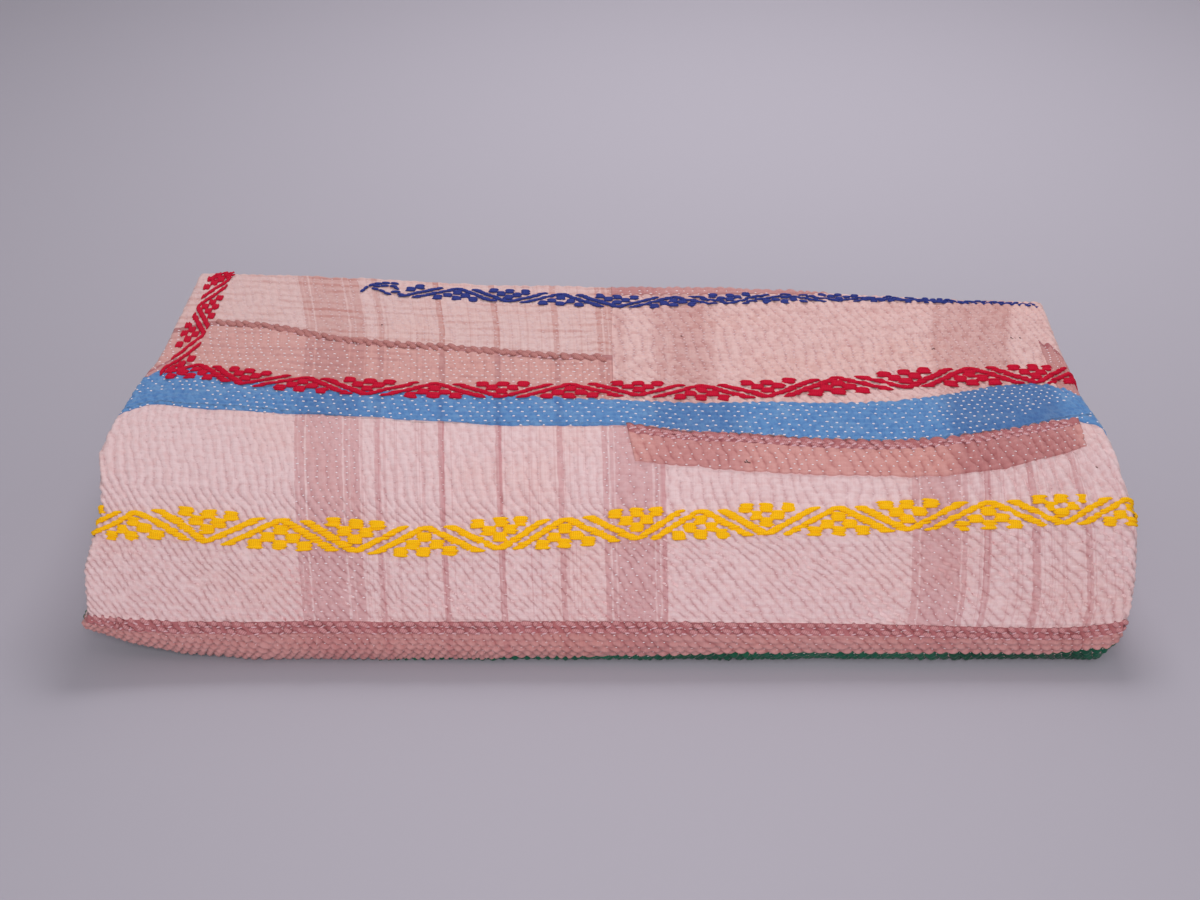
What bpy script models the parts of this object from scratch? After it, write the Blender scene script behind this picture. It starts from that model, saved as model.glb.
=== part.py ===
"""Folded kantha quilt.

One quilted cotton sheet. It is folded in half twice across its length, which gives a strip of four plies,
and the strip is folded in half three times, which gives a bundle of eight passes. The last fold is at the
front, so one smooth face of cloth runs from the top of the bundle, round the front and under it. The free
ends of the strip lie at the back.

The sheet starts as a flat grid. Each of its points is moved to its place in the folded bundle, the sheet
gets its thickness, and the bundle then slumps: it tapers, its ends round off and the left one curls up.

The model stands on z = 0, faces -Y and is centred on its own box. Sizes are in metres.
"""

import math

import bmesh
import bpy
import numpy as np

# ---------------------------------------------------------------- driving sizes
CLOTH = 0.0020  # thickness of the quilted sheet
PLY_PITCH = 0.0030  # from one ply of the strip to the next
HALF_WIDTH = 0.2885  # half of the bundle's width, at the middle of the sheet's thickness
DEPTH = 0.2470  # from the front fold to the free ends, half way along the width
FRONT_PITCH = 0.0123  # height that one pass of the strip takes at the front
BACK_PITCH = 0.0157  # the same at the back, where the pile is looser
PASSES = 8

STRIP = 3 * PLY_PITCH + CLOTH  # thickness of the strip of four plies
TOP = STRIP + (PASSES - 1) * BACK_PITCH  # height of the bundle at the back, before it slumps

# One row for each fold at the front: the two passes that it joins, counted from the surface up; how far its
# outer face lies behind the front of the bundle; the radius at which the strip turns up from the lower pass;
# how steeply it then leans back, in degrees; how far behind its nose it is level with the upper pass; and
# how full the curve between them is, from 0 for straight to 1 for a sharp corner.
FRONT_FOLDS = (
    dict(upper=8, lower=1, setback=0.000, radius=0.0098, lean=62, reach=0.128, fullness=0.60, steps=6),
    dict(upper=7, lower=2, setback=0.023, radius=0.0075, lean=58, reach=0.107, fullness=0.57, steps=5),
    dict(upper=6, lower=3, setback=0.056, radius=0.0070, lean=48, reach=0.078, fullness=0.54, steps=4),
    dict(upper=5, lower=4, setback=0.108, radius=0.0067, lean=90, reach=0.007, fullness=0.55, steps=3),
)
TURN_STEPS = 4  # flats in the turn of a front fold
MIDWAY = 0.150  # depth at which each pass has a point between its folds

# One row for each fold at the back: its passes, how far its outer face lies in front of the back of the
# bundle, and how far the fold reaches behind the end of its straight passes.
BACK_FOLDS = (
    dict(upper=4, lower=1, setback=0.002, reach=0.0210, steps=5),
    dict(upper=3, lower=2, setback=0.015, reach=0.0080, steps=4),
    dict(upper=6, lower=5, setback=0.006, reach=0.0085, steps=4),
)
FIRST_END_SETBACK = 0.000  # free end of the top pass
LAST_END_SETBACK = 0.007  # free end of the pass under it
RUN = (8, 1, 4, 5, 6, 3, 2, 7)  # the order in which the strip runs through the passes

# Where each ply has its points between its two ends. The three at the left are where the lift bends.
PLY_STATIONS = (-0.262, -0.235, -0.200, 0.020, 0.225)
EDGE_INSET = 0.004  # how far the inner side edge of the strip lies inside the left fold
EDGE_STEP = 0.005  # how much further in the other side edge lies

# How far the left and right ends of each pass lie inside the outer face, because the folds are not true.
PASS_ENDS = (
    dict(number=8, left=0.000, right=0.000),
    dict(number=7, left=0.006, right=0.003),
    dict(number=6, left=0.002, right=0.008),
    dict(number=5, left=0.009, right=0.004),
    dict(number=4, left=0.004, right=0.007),
    dict(number=3, left=0.008, right=0.002),
    dict(number=2, left=0.003, right=0.006),
    dict(number=1, left=0.000, right=0.000),
)

# How the bundle slumps.
FRONT_SKEW = 0.034  # how far the front runs back for each metre to the right
TAPER = 0.32  # how much shallower the bundle is for each metre to the right, as a share
# How each end of the top draws in: the depth behind the front where that starts, the length over which it
# happens, how far the end then lies inside, and how much further it has drawn in at the back.
SHOULDERS = dict(
    left=dict(start=0.080, run=0.070, inward=0.018, back=-0.004),
    right=dict(start=0.055, run=0.085, inward=0.023, back=0.003),
)
FOOT_HEIGHT = 0.045  # height under which the right end draws in
FOOT_IN = 0.018  # how far it draws in at the surface
# How high the left end of the lowest pass curls up: bends from its tip to where it lies flat.
END_LIFT = (
    dict(x=-0.2890, lift=0.0215),
    dict(x=-0.2620, lift=0.0105),
    dict(x=-0.2350, lift=0.0035),
    dict(x=-0.2000, lift=0.0000),
)
WAVE = 0.0012  # height of the long waves of the top
WAVE_LENGTH = 0.310

COTTON = (0.72, 0.55, 0.55, 1.0)  # pale pink


# ---------------------------------------------------------------- folding
def pass_height(number, y):
    """Height of the middle of a pass at the depth y behind the front."""
    pitch = FRONT_PITCH + (BACK_PITCH - FRONT_PITCH) * y / DEPTH
    return STRIP / 2 + (number - 1) * pitch


def bezier(start, first, second, end, steps):
    """Points on a cubic curve, from its start to its end."""
    t = np.linspace(0, 1, steps + 1)[:, None]
    return (1 - t) ** 3 * start + 3 * (1 - t) ** 2 * t * first + 3 * (1 - t) * t**2 * second + t**3 * end


def front_fold(upper, lower, setback, radius, lean, reach, fullness, steps):
    """Middle of the strip through a front fold, from the upper pass down to the lower one."""
    nose = setback + STRIP / 2
    centre = np.array([nose + radius, pass_height(lower, nose + radius) + radius])
    lean = math.radians(lean)
    angles = np.linspace(math.pi / 2 + lean, 1.5 * math.pi, TURN_STEPS + 1)
    turn = centre + radius * np.stack([np.cos(angles), np.sin(angles)], -1)

    level = nose + reach
    end = np.array([level, pass_height(upper, level)])
    pass_slope = (pass_height(upper, DEPTH) - pass_height(upper, 0)) / DEPTH
    leaning = np.array([math.cos(lean), math.sin(lean)])
    lying = np.array([1, pass_slope])
    # The corner where the leaning line meets the pass: turn[0] + a * leaning = end - b * lying.
    a, _ = np.linalg.solve(np.stack([leaning, lying], -1), end - turn[0])
    corner = turn[0] + a * leaning
    toward_end = end + (corner - end) * fullness
    toward_turn = turn[0] + (corner - turn[0]) * fullness
    rise = bezier(end, toward_end, toward_turn, turn[0], steps)
    return np.concatenate([rise, turn[1:]])


def back_fold(upper, lower, setback, reach, steps):
    """Middle of the strip through a back fold, from the lower pass up to the upper one."""
    angles = np.linspace(-math.pi / 2, math.pi / 2, steps + 1)
    y = DEPTH - setback - STRIP / 2 - reach * (1 - np.cos(angles))
    low, high = pass_height(lower, y), pass_height(upper, y)
    z = (low + high) / 2 + (high - low) / 2 * np.sin(angles)
    return np.stack([y, z], -1)


def strip_path():
    """Points along the middle of the strip, from one free end to the other: y, z and the pass there.

    In a fold, the pass is a number between those of the two passes that the fold joins.
    """
    folds = {(row["upper"], row["lower"]): front_fold(**row) for row in FRONT_FOLDS}
    folds |= {(row["lower"], row["upper"]): back_fold(**row) for row in BACK_FOLDS}

    def on_pass(number, y):
        return np.array([[y, pass_height(number, y), number]])

    path = [on_pass(RUN[0], DEPTH - FIRST_END_SETBACK)]
    for leaving, entering in zip(RUN[:-1], RUN[1:]):
        if (leaving, entering) in folds:
            fold = folds[leaving, entering]
        else:
            fold = folds[entering, leaving][::-1]
        numbers = np.linspace(leaving, entering, len(fold))
        path += [on_pass(leaving, MIDWAY), np.column_stack([fold, numbers])]
    path += [on_pass(RUN[-1], MIDWAY), on_pass(RUN[-1], DEPTH - LAST_END_SETBACK)]
    return np.concatenate(path)


def outward(path):
    """Unit normals of the path, on the side that is outermost in the bundle."""
    along = np.gradient(path, axis=0)
    steps = np.diff(path, axis=0)
    steps /= np.linalg.norm(steps, axis=1)[:, None]
    along[1:-1] = steps[1:] + steps[:-1]
    along /= np.linalg.norm(along, axis=1)[:, None]
    return np.stack([along[:, 1], -along[:, 0]], -1)


def half_turn(x, n, radius, side, start, steps):
    """Points (x, n) on a half circle that closes towards side, from start = -1 (lower) or 1 (upper)."""
    angles = np.linspace(0, math.pi, steps + 1)[1:-1]
    return np.stack([x + side * radius * np.sin(angles), n + start * radius * np.cos(angles)], -1)


def strip_section():
    """Points (x, n) across the strip, n outward from its middle, from one side edge to the other.

    The plies, from the inside out, are 1 to 4. The right end holds the outer fold, between plies 1 and 4,
    and in it the fold between plies 2 and 3; the left end holds the fold between plies 4 and 3.
    """
    ply = {number: (number - 2.5) * PLY_PITCH for number in (1, 2, 3, 4)}
    right = HALF_WIDTH - ply[4]
    left = -(HALF_WIDTH - PLY_PITCH / 2)
    first_edge = left + EDGE_INSET
    last_edge = first_edge + EDGE_STEP

    def along(number, start, end):
        x = np.array([min(start, end), *PLY_STATIONS, max(start, end)])
        if start > end:
            x = x[::-1]
        return np.stack([x, np.full(len(x), ply[number])], -1)

    return np.concatenate(
        [
            along(1, first_edge, right),
            half_turn(right, 0, ply[4], 1, -1, 6),
            along(4, right, left),
            half_turn(left, (ply[4] + ply[3]) / 2, PLY_PITCH / 2, -1, 1, 3),
            along(3, left, right),
            half_turn(right, 0, ply[3], 1, 1, 4),
            along(2, right, last_edge),
        ]
    )


def pass_inset(x, number):
    """How far a point of a pass is moved in, towards the middle, where it is outside the stations."""
    numbers = [row["number"] for row in PASS_ENDS[::-1]]
    left = np.interp(number, numbers, [row["left"] for row in PASS_ENDS[::-1]])
    right = np.interp(number, numbers, [row["right"] for row in PASS_ENDS[::-1]])
    return left * (x < PLY_STATIONS[0]) - right * (x > PLY_STATIONS[-1])


def sheet_mesh():
    """The middle of the folded sheet: a flat grid, each of whose points is moved to its folded place."""
    path, section = strip_path(), strip_section()
    middle, numbers = path[:, :2], path[:, 2]
    normals = outward(middle)
    bm = bmesh.new()
    bmesh.ops.create_grid(bm, x_segments=len(section) - 1, y_segments=len(path) - 1, size=0.5)
    for vert in bm.verts:
        across = round((vert.co.x + 0.5) * (len(section) - 1))
        along = round((vert.co.y + 0.5) * (len(path) - 1))
        x, n = section[across]
        y, z = middle[along] + n * normals[along]
        vert.co = (x + pass_inset(x, numbers[along]), y, z)
    mesh = bpy.data.meshes.new("quilt")
    bm.to_mesh(mesh)
    bm.free()
    return mesh


# ---------------------------------------------------------------- slumping
def ease(share):
    """A share limited to 0..1, with a smooth start and end."""
    share = np.clip(share, 0, 1)
    return share * share * (3 - 2 * share)


def shoulder(y, z, start, run, inward, back):
    """How far an end of the bundle has drawn in at a depth and height."""
    drawn = inward * ease((y - start) / run) + back * np.clip(y / DEPTH, 0, 1)
    return drawn * ease(z / TOP)


def slump(x, y, z):
    """Where each point of the neat bundle comes to lie."""
    foot = FOOT_IN * ease(1 - z / FOOT_HEIGHT)
    left = shoulder(y, z, **SHOULDERS["left"])
    right = shoulder(y, z, **SHOULDERS["right"]) + foot
    end = (x / HALF_WIDTH) ** 3
    lift = np.interp(x, [row["x"] for row in END_LIFT], [row["lift"] for row in END_LIFT]) * (1 - z / TOP)
    wave = WAVE * z / TOP * np.sin(2 * math.pi * x / WAVE_LENGTH)
    return x - end * np.where(x < 0, left, right), y * (1 - TAPER * x) + FRONT_SKEW * x, z + lift + wave


def slumped(mesh):
    """Slumps the bundle and centres it on its own box."""
    points = np.empty(3 * len(mesh.vertices), np.float32)
    mesh.vertices.foreach_get("co", points)
    points = np.stack(slump(*points.reshape(-1, 3).T.astype(float)), -1)
    low, high = points.min(axis=0), points.max(axis=0)
    points -= [(low[0] + high[0]) / 2, (low[1] + high[1]) / 2, low[2]]
    mesh.vertices.foreach_set("co", points.ravel())
    mesh.update()


def thicken(obj, thickness):
    """Gives a sheet its thickness, half on each side."""
    solidify = obj.modifiers.new("thickness", "SOLIDIFY")
    solidify.thickness = thickness
    solidify.offset = 0
    solidify.use_even_offset = True
    evaluated = obj.evaluated_get(bpy.context.evaluated_depsgraph_get())
    solid = bpy.data.meshes.new_from_object(evaluated)
    obj.modifiers.clear()
    flat, obj.data = obj.data, solid
    bpy.data.meshes.remove(flat)


# ---------------------------------------------------------------- the object
def cotton():
    """Matt quilted cotton."""
    material = bpy.data.materials.new("cotton")
    material.use_nodes = True
    shader = material.node_tree.nodes["Principled BSDF"]
    shader.inputs["Base Color"].default_value = COTTON
    shader.inputs["Roughness"].default_value = 0.9
    shader.inputs["Metallic"].default_value = 0.0
    return material


def build_quilt(collection):
    """The whole quilt, one solid."""
    quilt = bpy.data.objects.new("quilt", sheet_mesh())
    collection.objects.link(quilt)
    thicken(quilt, CLOTH)
    slumped(quilt.data)
    quilt.data.materials.append(cotton())
    return quilt


def main():
    for obj in list(bpy.data.objects):
        bpy.data.objects.remove(obj)
    collection = bpy.data.collections.new("folded kantha quilt")
    bpy.context.scene.collection.children.link(collection)
    build_quilt(collection)


main()
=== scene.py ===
"""Looks of the folded kantha quilt.

A hand-quilted cotton sheet lies folded on a pale floor. The sheet runs back and forth through
eight passes of four plies, as its CAD solid does, and this file gives it its cloth: the striped
outer cotton puckered by rows of running stitch, the patches sewn on it, and the chains
embroidered across it.

Everything that lies on the outside of the bundle has its place in the cloth's own coordinates:
across, which is the distance to the right of the bundle's middle, and along, which is the
distance from the back edge of the top over the front fold. The Bundle turns them into points.
Sizes are in metres.
"""

import logging
import math
from dataclasses import dataclass, field
from enum import Enum

import bpy
import numpy as np
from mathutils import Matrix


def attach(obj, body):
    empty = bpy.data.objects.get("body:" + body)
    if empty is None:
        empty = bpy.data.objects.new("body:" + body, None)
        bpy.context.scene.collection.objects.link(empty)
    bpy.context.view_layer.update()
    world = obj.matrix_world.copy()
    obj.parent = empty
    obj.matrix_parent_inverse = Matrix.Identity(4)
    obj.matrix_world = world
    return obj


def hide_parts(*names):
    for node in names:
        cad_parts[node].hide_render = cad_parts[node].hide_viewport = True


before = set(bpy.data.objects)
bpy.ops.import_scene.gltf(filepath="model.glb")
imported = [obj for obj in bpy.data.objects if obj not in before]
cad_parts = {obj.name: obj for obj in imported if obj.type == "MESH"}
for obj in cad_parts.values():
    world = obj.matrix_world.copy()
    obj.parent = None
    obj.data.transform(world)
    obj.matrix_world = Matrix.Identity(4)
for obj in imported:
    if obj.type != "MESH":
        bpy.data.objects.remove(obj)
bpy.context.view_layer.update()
log = logging.getLogger("quilt")

Array = np.ndarray
Pair = tuple[float, float]
Three = tuple[float, float, float]
Four = tuple[float, float, float, float]
Points = tuple[Pair, ...]
Place = Three
Colour = Three


# ---- numbers
def ease(share: Array) -> Array:
    """A share limited to 0..1, with a smooth start and end: 3s^2 - 2s^3."""
    share = np.clip(share, 0, 1)
    return share * share * (3 - 2 * share)


def lattice(ix: Array, iy: Array, seed: int) -> Array:
    """A fixed scatter of values -1..1: the fraction of a large multiple of the place's sine."""
    turn_x, turn_y, turn_seed, size = 127.1, 311.7, 74.7, 43758.5453
    value = np.sin(ix * turn_x + iy * turn_y + seed * turn_seed) * size
    return 2 * (value - np.floor(value)) - 1


def noise(x: Array, y: Array, seed: int) -> Array:
    """Smooth uneven values -1..1, one hill or hollow a unit: the lattice, eased between corners.

    Args:
        x: First coordinate, in units.
        y: Second coordinate, in units.
        seed: Which pattern.

    Returns:
        A value for each place.
    """
    x, y = np.broadcast_arrays(x, y)
    ix, iy = np.floor(x), np.floor(y)
    fx, fy = ease(x - ix), ease(y - iy)
    low = lattice(ix, iy, seed) * (1 - fx) + lattice(ix + 1, iy, seed) * fx
    high = lattice(ix, iy + 1, seed) * (1 - fx) + lattice(ix + 1, iy + 1, seed) * fx
    return low * (1 - fy) + high * fy


def smooth_line(points: Points, at: Array) -> Array:
    """Height of a smooth line: a cubic between each two points, with their neighbours' slopes.

    Args:
        points: The line's points, from left to right.
        at: Where the line is read.

    Returns:
        The line's height there.
    """
    x, y = np.array(points, float).T
    slope = np.gradient(y, x)
    at = np.clip(at, x[0], x[-1])
    i = np.clip(np.searchsorted(x, at) - 1, 0, len(x) - 2)
    span = x[i + 1] - x[i]
    t = (at - x[i]) / span
    start, end = y[i] * (1 + 2 * t) * (1 - t) ** 2, y[i + 1] * t * t * (3 - 2 * t)
    return start + end + span * (slope[i] * t * (1 - t) ** 2 - slope[i + 1] * t * t * (1 - t))


def straight_line(points: Points, at: Array) -> Array:
    """Height of a line that is straight between its points, and level beyond them."""
    return np.interp(at, *np.array(points).T)


@dataclass(frozen=True)
class Grain:
    """A smooth unevenness: its strength, the size of its hills both ways, and its pattern."""

    strength: float
    across: float
    along: float
    seed: int

    def at(self, across: Array, along: Array) -> Array:
        """Its value at each place, up to its strength either way."""
        return self.strength * noise(across / self.across, along / self.along, self.seed)


Grains = tuple[Grain, ...]


def uneven(grains: Grains, across: Array, along: Array, mean: float = 0.0) -> Array:
    """The sum of several grains and a mean, at each place."""
    return sum((grain.at(across, along) for grain in grains), mean)


@dataclass(frozen=True)
class Ramp:
    """A smooth rise from 0 to 1 that begins at a start and takes a run. Below 0, it goes back."""

    start: float
    run: float

    def at(self, place: Array) -> Array:
        """Its value at each place."""
        return ease((place - self.start) / self.run)


# ---- the folded shape
@dataclass(frozen=True)
class FrontFold:
    """A fold of the strip at the front, between an upper and a lower pass.

    Its setback is how far it lies behind the bundle's front. From its radius the strip leans
    back, in degrees, and its reach is how far behind its nose it is level with the upper pass.
    Its fullness goes from 0 for a straight rise to 1 for a sharp corner.
    """

    upper: int
    lower: int
    setback: float
    radius: float
    lean: float
    reach: float
    fullness: float


@dataclass(frozen=True)
class BackFold:
    """A fold at the back: its two passes, its setback, and how far it reaches past them."""

    upper: int
    lower: int
    setback: float
    reach: float


@dataclass(frozen=True)
class Shoulder:
    """How an end of the top draws in: its start, its length, how far, and what the back adds."""

    start: float
    run: float
    inward: float
    back: float

    def drawn(self, y: Array, z: Array, depth: float, top: float) -> Array:
        """How far the end has drawn in at a depth and height."""
        inward = self.inward * ease((y - self.start) / self.run)
        return (inward + self.back * np.clip(y / depth, 0, 1)) * ease(z / top)


@dataclass
class Bundle:
    """The shape in which the sheet lies folded: its CAD solid's, with smooth curves.

    Passes are counted from the surface up, and the run is the order in which the strip goes
    through them. The front folds are given from the outermost in. The insets move the ends of
    each pass in, and the skew and the taper are shares of the distance across.
    """

    cloth: float = 0.0020
    plies: int = 4
    ply_pitch: float = 0.0030
    half_width: float = 0.2885
    depth: float = 0.2470
    front_pitch: float = 0.0123
    back_pitch: float = 0.0157
    passes: int = 8
    front_folds: tuple[FrontFold, ...] = (
        FrontFold(8, 1, setback=0.000, radius=0.0098, lean=62, reach=0.128, fullness=0.60),
        FrontFold(7, 2, setback=0.023, radius=0.0075, lean=58, reach=0.107, fullness=0.57),
        FrontFold(6, 3, setback=0.056, radius=0.0070, lean=48, reach=0.078, fullness=0.54),
        FrontFold(5, 4, setback=0.108, radius=0.0067, lean=90, reach=0.007, fullness=0.55),
    )
    back_folds: tuple[BackFold, ...] = (
        BackFold(4, 1, setback=0.002, reach=0.0210),
        BackFold(3, 2, setback=0.015, reach=0.0080),
        BackFold(6, 5, setback=0.006, reach=0.0085),
    )
    run: tuple[int, ...] = (8, 1, 4, 5, 6, 3, 2, 7)
    first_end_setback: float = 0.000
    last_end_setback: float = 0.007
    left_insets: tuple[float, ...] = (0.0, 0.003, 0.008, 0.004, 0.009, 0.002, 0.006, 0.0)
    right_insets: tuple[float, ...] = (0.0, 0.006, 0.002, 0.007, 0.004, 0.008, 0.003, 0.0)
    inset_from: Pair = (-0.262, 0.225)
    edge_inset: float = 0.004
    edge_step: float = 0.005
    front_skew: float = 0.034
    taper: float = 0.32
    left_shoulder: Shoulder = Shoulder(start=0.080, run=0.070, inward=0.018, back=-0.004)
    right_shoulder: Shoulder = Shoulder(start=0.055, run=0.085, inward=0.023, back=0.003)
    foot_height: float = 0.045
    foot_in: float = 0.018
    end_lift: Points = ((-0.2890, 0.0215), (-0.2620, 0.0105), (-0.2350, 0.0035), (-0.2000, 0.0))
    end_power: int = 3
    wave: float = 0.0012
    wave_length: float = 0.310
    box_middle: Place = (-0.002316, 0.12539, 0.0)
    lowest: float = 0.0002
    middle: Array = field(init=False)
    normals: Array = field(init=False)
    numbers: Array = field(init=False)
    lengths: Array = field(init=False)

    def __post_init__(self) -> None:
        """Works out the strip's path, its normals and its length along the outer face."""
        self.strip = (self.plies - 1) * self.ply_pitch + self.cloth
        self.top = self.strip + (self.passes - 1) * self.back_pitch
        self.middle, self.numbers = self.path()
        steps = np.diff(self.middle, axis=0)
        steps /= np.linalg.norm(steps, axis=1)[:, None]
        along = np.concatenate([steps[:1], steps[1:] + steps[:-1], steps[-1:]])
        along /= np.linalg.norm(along, axis=1)[:, None]
        self.normals = np.stack([along[:, 1], -along[:, 0]], -1)
        outer = self.middle + self.strip / 2 * self.normals
        outer_steps = np.linalg.norm(np.diff(outer, axis=0), axis=1)
        self.lengths = np.concatenate([[0], np.cumsum(outer_steps)])
        self.turn_right = self.half_width - (self.plies - 1) / 2 * self.ply_pitch
        self.turn_left = -(self.half_width - self.ply_pitch / 2)
        self.right_radius = self.strip / 2
        self.left_radius = (self.ply_pitch + self.cloth) / 2

    def pass_height(self, number: float, y: Array) -> Array:
        """Height of a pass's middle at a depth behind the front: a line that climbs backwards."""
        pitch = self.front_pitch + (self.back_pitch - self.front_pitch) * y / self.depth
        return self.strip / 2 + (number - 1) * pitch

    def front_curve(self, fold: FrontFold, steps: int = 48, turn_steps: int = 24) -> Array:
        """Middle of the strip through a front fold, from the upper pass down.

        It is a cubic curve from the upper pass down to a leaning line, then an arc down to the
        lower pass.

        Args:
            fold: The fold.
            steps: Flats in the cubic.
            turn_steps: Flats in the arc.

        Returns:
            Its points, y and z.
        """
        nose = fold.setback + self.strip / 2
        foot = nose + fold.radius
        centre = np.array([foot, self.pass_height(fold.lower, foot) + fold.radius])
        lean = math.radians(fold.lean)
        angles = np.linspace(math.pi / 2 + lean, 1.5 * math.pi, turn_steps + 1)
        turn = centre + fold.radius * np.stack([np.cos(angles), np.sin(angles)], -1)
        level = nose + fold.reach
        end = np.array([level, self.pass_height(fold.upper, level)])
        climb = self.pass_height(fold.upper, self.depth) - self.pass_height(fold.upper, 0)
        upper_way = np.array([1, climb / self.depth])
        leaning = np.array([math.cos(lean), math.sin(lean)])
        share, _ = np.linalg.solve(np.stack([leaning, upper_way], -1), end - turn[0])
        corner = turn[0] + share * leaning
        first = end + (corner - end) * fold.fullness
        second = turn[0] + (corner - turn[0]) * fold.fullness
        t = np.linspace(0, 1, steps + 1)[:, None]
        rise = (1 - t) ** 3 * end + 3 * (1 - t) ** 2 * t * first
        rise = rise + 3 * (1 - t) * t**2 * second + t**3 * turn[0]
        return np.concatenate([rise, turn[1:]])

    def back_curve(self, fold: BackFold, steps: int = 16) -> Array:
        """Middle of the strip through a back fold, from the lower pass up: half an ellipse."""
        angles = np.linspace(-math.pi / 2, math.pi / 2, steps + 1)
        y = self.depth - fold.setback - self.strip / 2 - fold.reach * (1 - np.cos(angles))
        low, high = self.pass_height(fold.lower, y), self.pass_height(fold.upper, y)
        return np.stack([y, (low + high) / 2 + (high - low) / 2 * np.sin(angles)], -1)

    def path(self, step: float = 0.008) -> tuple[Array, Array]:
        """The middle of the strip from end to end: the folds and the legs between them.

        Args:
            step: About how far apart the points on a straight leg are.

        Returns:
            Its points, y and z, and the number of the pass that each is on.
        """
        folds = {(fold.upper, fold.lower): self.front_curve(fold) for fold in self.front_folds}
        folds |= {(fold.lower, fold.upper): self.back_curve(fold) for fold in self.back_folds}
        folds |= {(after, before): curve[::-1] for (before, after), curve in folds.items()}
        points = [self.free_end(self.run[0], self.first_end_setback)]
        numbers = [[self.run[0]]]
        for leaving, entering in zip(self.run[:-1], self.run[1:]):
            curve = folds[leaving, entering]
            leg = self.leg(leaving, points[-1][-1][0], curve[0, 0], step)
            points += [leg, curve]
            numbers += [np.full(len(leg), leaving), np.linspace(leaving, entering, len(curve))]
        end = self.free_end(self.run[-1], self.last_end_setback)
        leg = self.leg(self.run[-1], points[-1][-1][0], end[0, 0], step)
        numbers.append(np.full(len(leg) + 1, self.run[-1]))
        return np.concatenate([*points, leg, end]), np.concatenate(numbers)

    def free_end(self, number: int, setback: float) -> Array:
        """The point at which the strip ends at the back, on a pass."""
        y = self.depth - setback
        return np.array([[y, self.pass_height(number, y)]])

    def leg(self, number: int, start: float, end: float, step: float) -> Array:
        """Points on a straight pass, between its start and its end."""
        y = np.linspace(start, end, max(2, round(abs(end - start) / step)) + 1)[1:-1]
        return np.stack([y, self.pass_height(number, y)], -1)

    def inset(self, x: Array, number: Array) -> Array:
        """How far the end of a pass is moved to the right, because the folds are not true."""
        order = np.arange(1, self.passes + 1)
        from_left, from_right = self.inset_from
        left = np.clip((from_left - x) / (self.half_width + from_left), 0, 1)
        right = np.clip((x - from_right) / (self.half_width - from_right), 0, 1)
        left_inset = np.interp(number, order, self.left_insets)
        return left_inset * left - np.interp(number, order, self.right_insets) * right

    def slump(self, x: Array, y: Array, z: Array) -> Array:
        """Where each point of the neat bundle comes to lie.

        The bundle tapers to the right, its ends draw in towards the top, the left one curls up,
        and its top is a little wavy.

        Args:
            x: Distance to the right of the middle.
            y: Depth behind the front.
            z: Height.

        Returns:
            Points round the middle of the box, with x, y and z last.
        """
        foot = self.foot_in * ease(1 - z / self.foot_height)
        left = self.left_shoulder.drawn(y, z, self.depth, self.top)
        right = self.right_shoulder.drawn(y, z, self.depth, self.top) + foot
        end = (x / self.half_width) ** self.end_power
        lift = straight_line(self.end_lift, x) * (1 - z / self.top)
        wave = self.wave * z / self.top * np.sin(2 * math.pi * x / self.wave_length)
        height = np.maximum(z + lift + wave, self.lowest)
        depth = y * (1 - self.taper * x) + self.front_skew * x
        sideways = x - end * np.where(x < 0, left, right)
        return np.stack([sideways, depth, height], -1) - self.box_middle

    def section(self, across: Array, out: Array) -> tuple[Array, Array]:
        """Where a point of the outer face lies in the strip: flat, then half a turn at each end.

        Args:
            across: Distance to the right of the middle, measured on the face.
            out: Distance out from the face.

        Returns:
            x, and the distance out from the middle of the strip.
        """
        right = np.clip((across - self.turn_right) / self.right_radius, 0, math.pi)
        left = np.clip((self.turn_left - across) / self.left_radius, 0, math.pi)
        flat = np.clip(across, self.turn_left, self.turn_right)
        right_out, left_out = self.right_radius + out, self.left_radius + out
        x = flat + right_out * np.sin(right) - left_out * np.sin(left)
        drop = right_out * (1 - np.cos(right)) + left_out * (1 - np.cos(left))
        return x, self.strip / 2 + out - drop

    def place(self, across: Array, along: Array, out: Array) -> Array:
        """Points of the outer face: the section, carried along the path and slumped.

        Where along is below 0, the face turns over the strip's end.

        Args:
            across: Distance to the right of the middle.
            along: Distance from the back edge of the top, over the front.
            out: Distance out from the CAD solid's face.

        Returns:
            Points, with x, y and z last.
        """
        across, along, out = np.broadcast_arrays(across, along, out)
        x, n = self.section(across, out)
        edge = self.cloth / 2
        over = np.clip(-along / edge, 0, math.pi)
        n = n - (edge + out) * (1 - np.cos(over))
        y, z = (np.interp(along, self.lengths, self.middle[:, k]) for k in (0, 1))
        ny, nz = (np.interp(along, self.lengths, self.normals[:, k]) for k in (0, 1))
        number = np.interp(along, self.lengths, self.numbers)
        y = y + (edge + out) * np.sin(over)
        return self.slump(x + self.inset(x, number), y + n * ny, z + n * nz)


# ---- quilting
@dataclass(frozen=True)
class Swell:
    """A part of the cloth that is puckered more: how much, and where it starts and ends."""

    strength: float
    across: tuple[Ramp, ...]
    along: tuple[Ramp, ...]

    def at(self, across: Array, along: Array) -> Array:
        """How much more the cloth is puckered at each place."""
        ramps = [ramp.at(across) for ramp in self.across] + [ramp.at(along) for ramp in self.along]
        return math.prod(ramps, start=self.strength)


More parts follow.
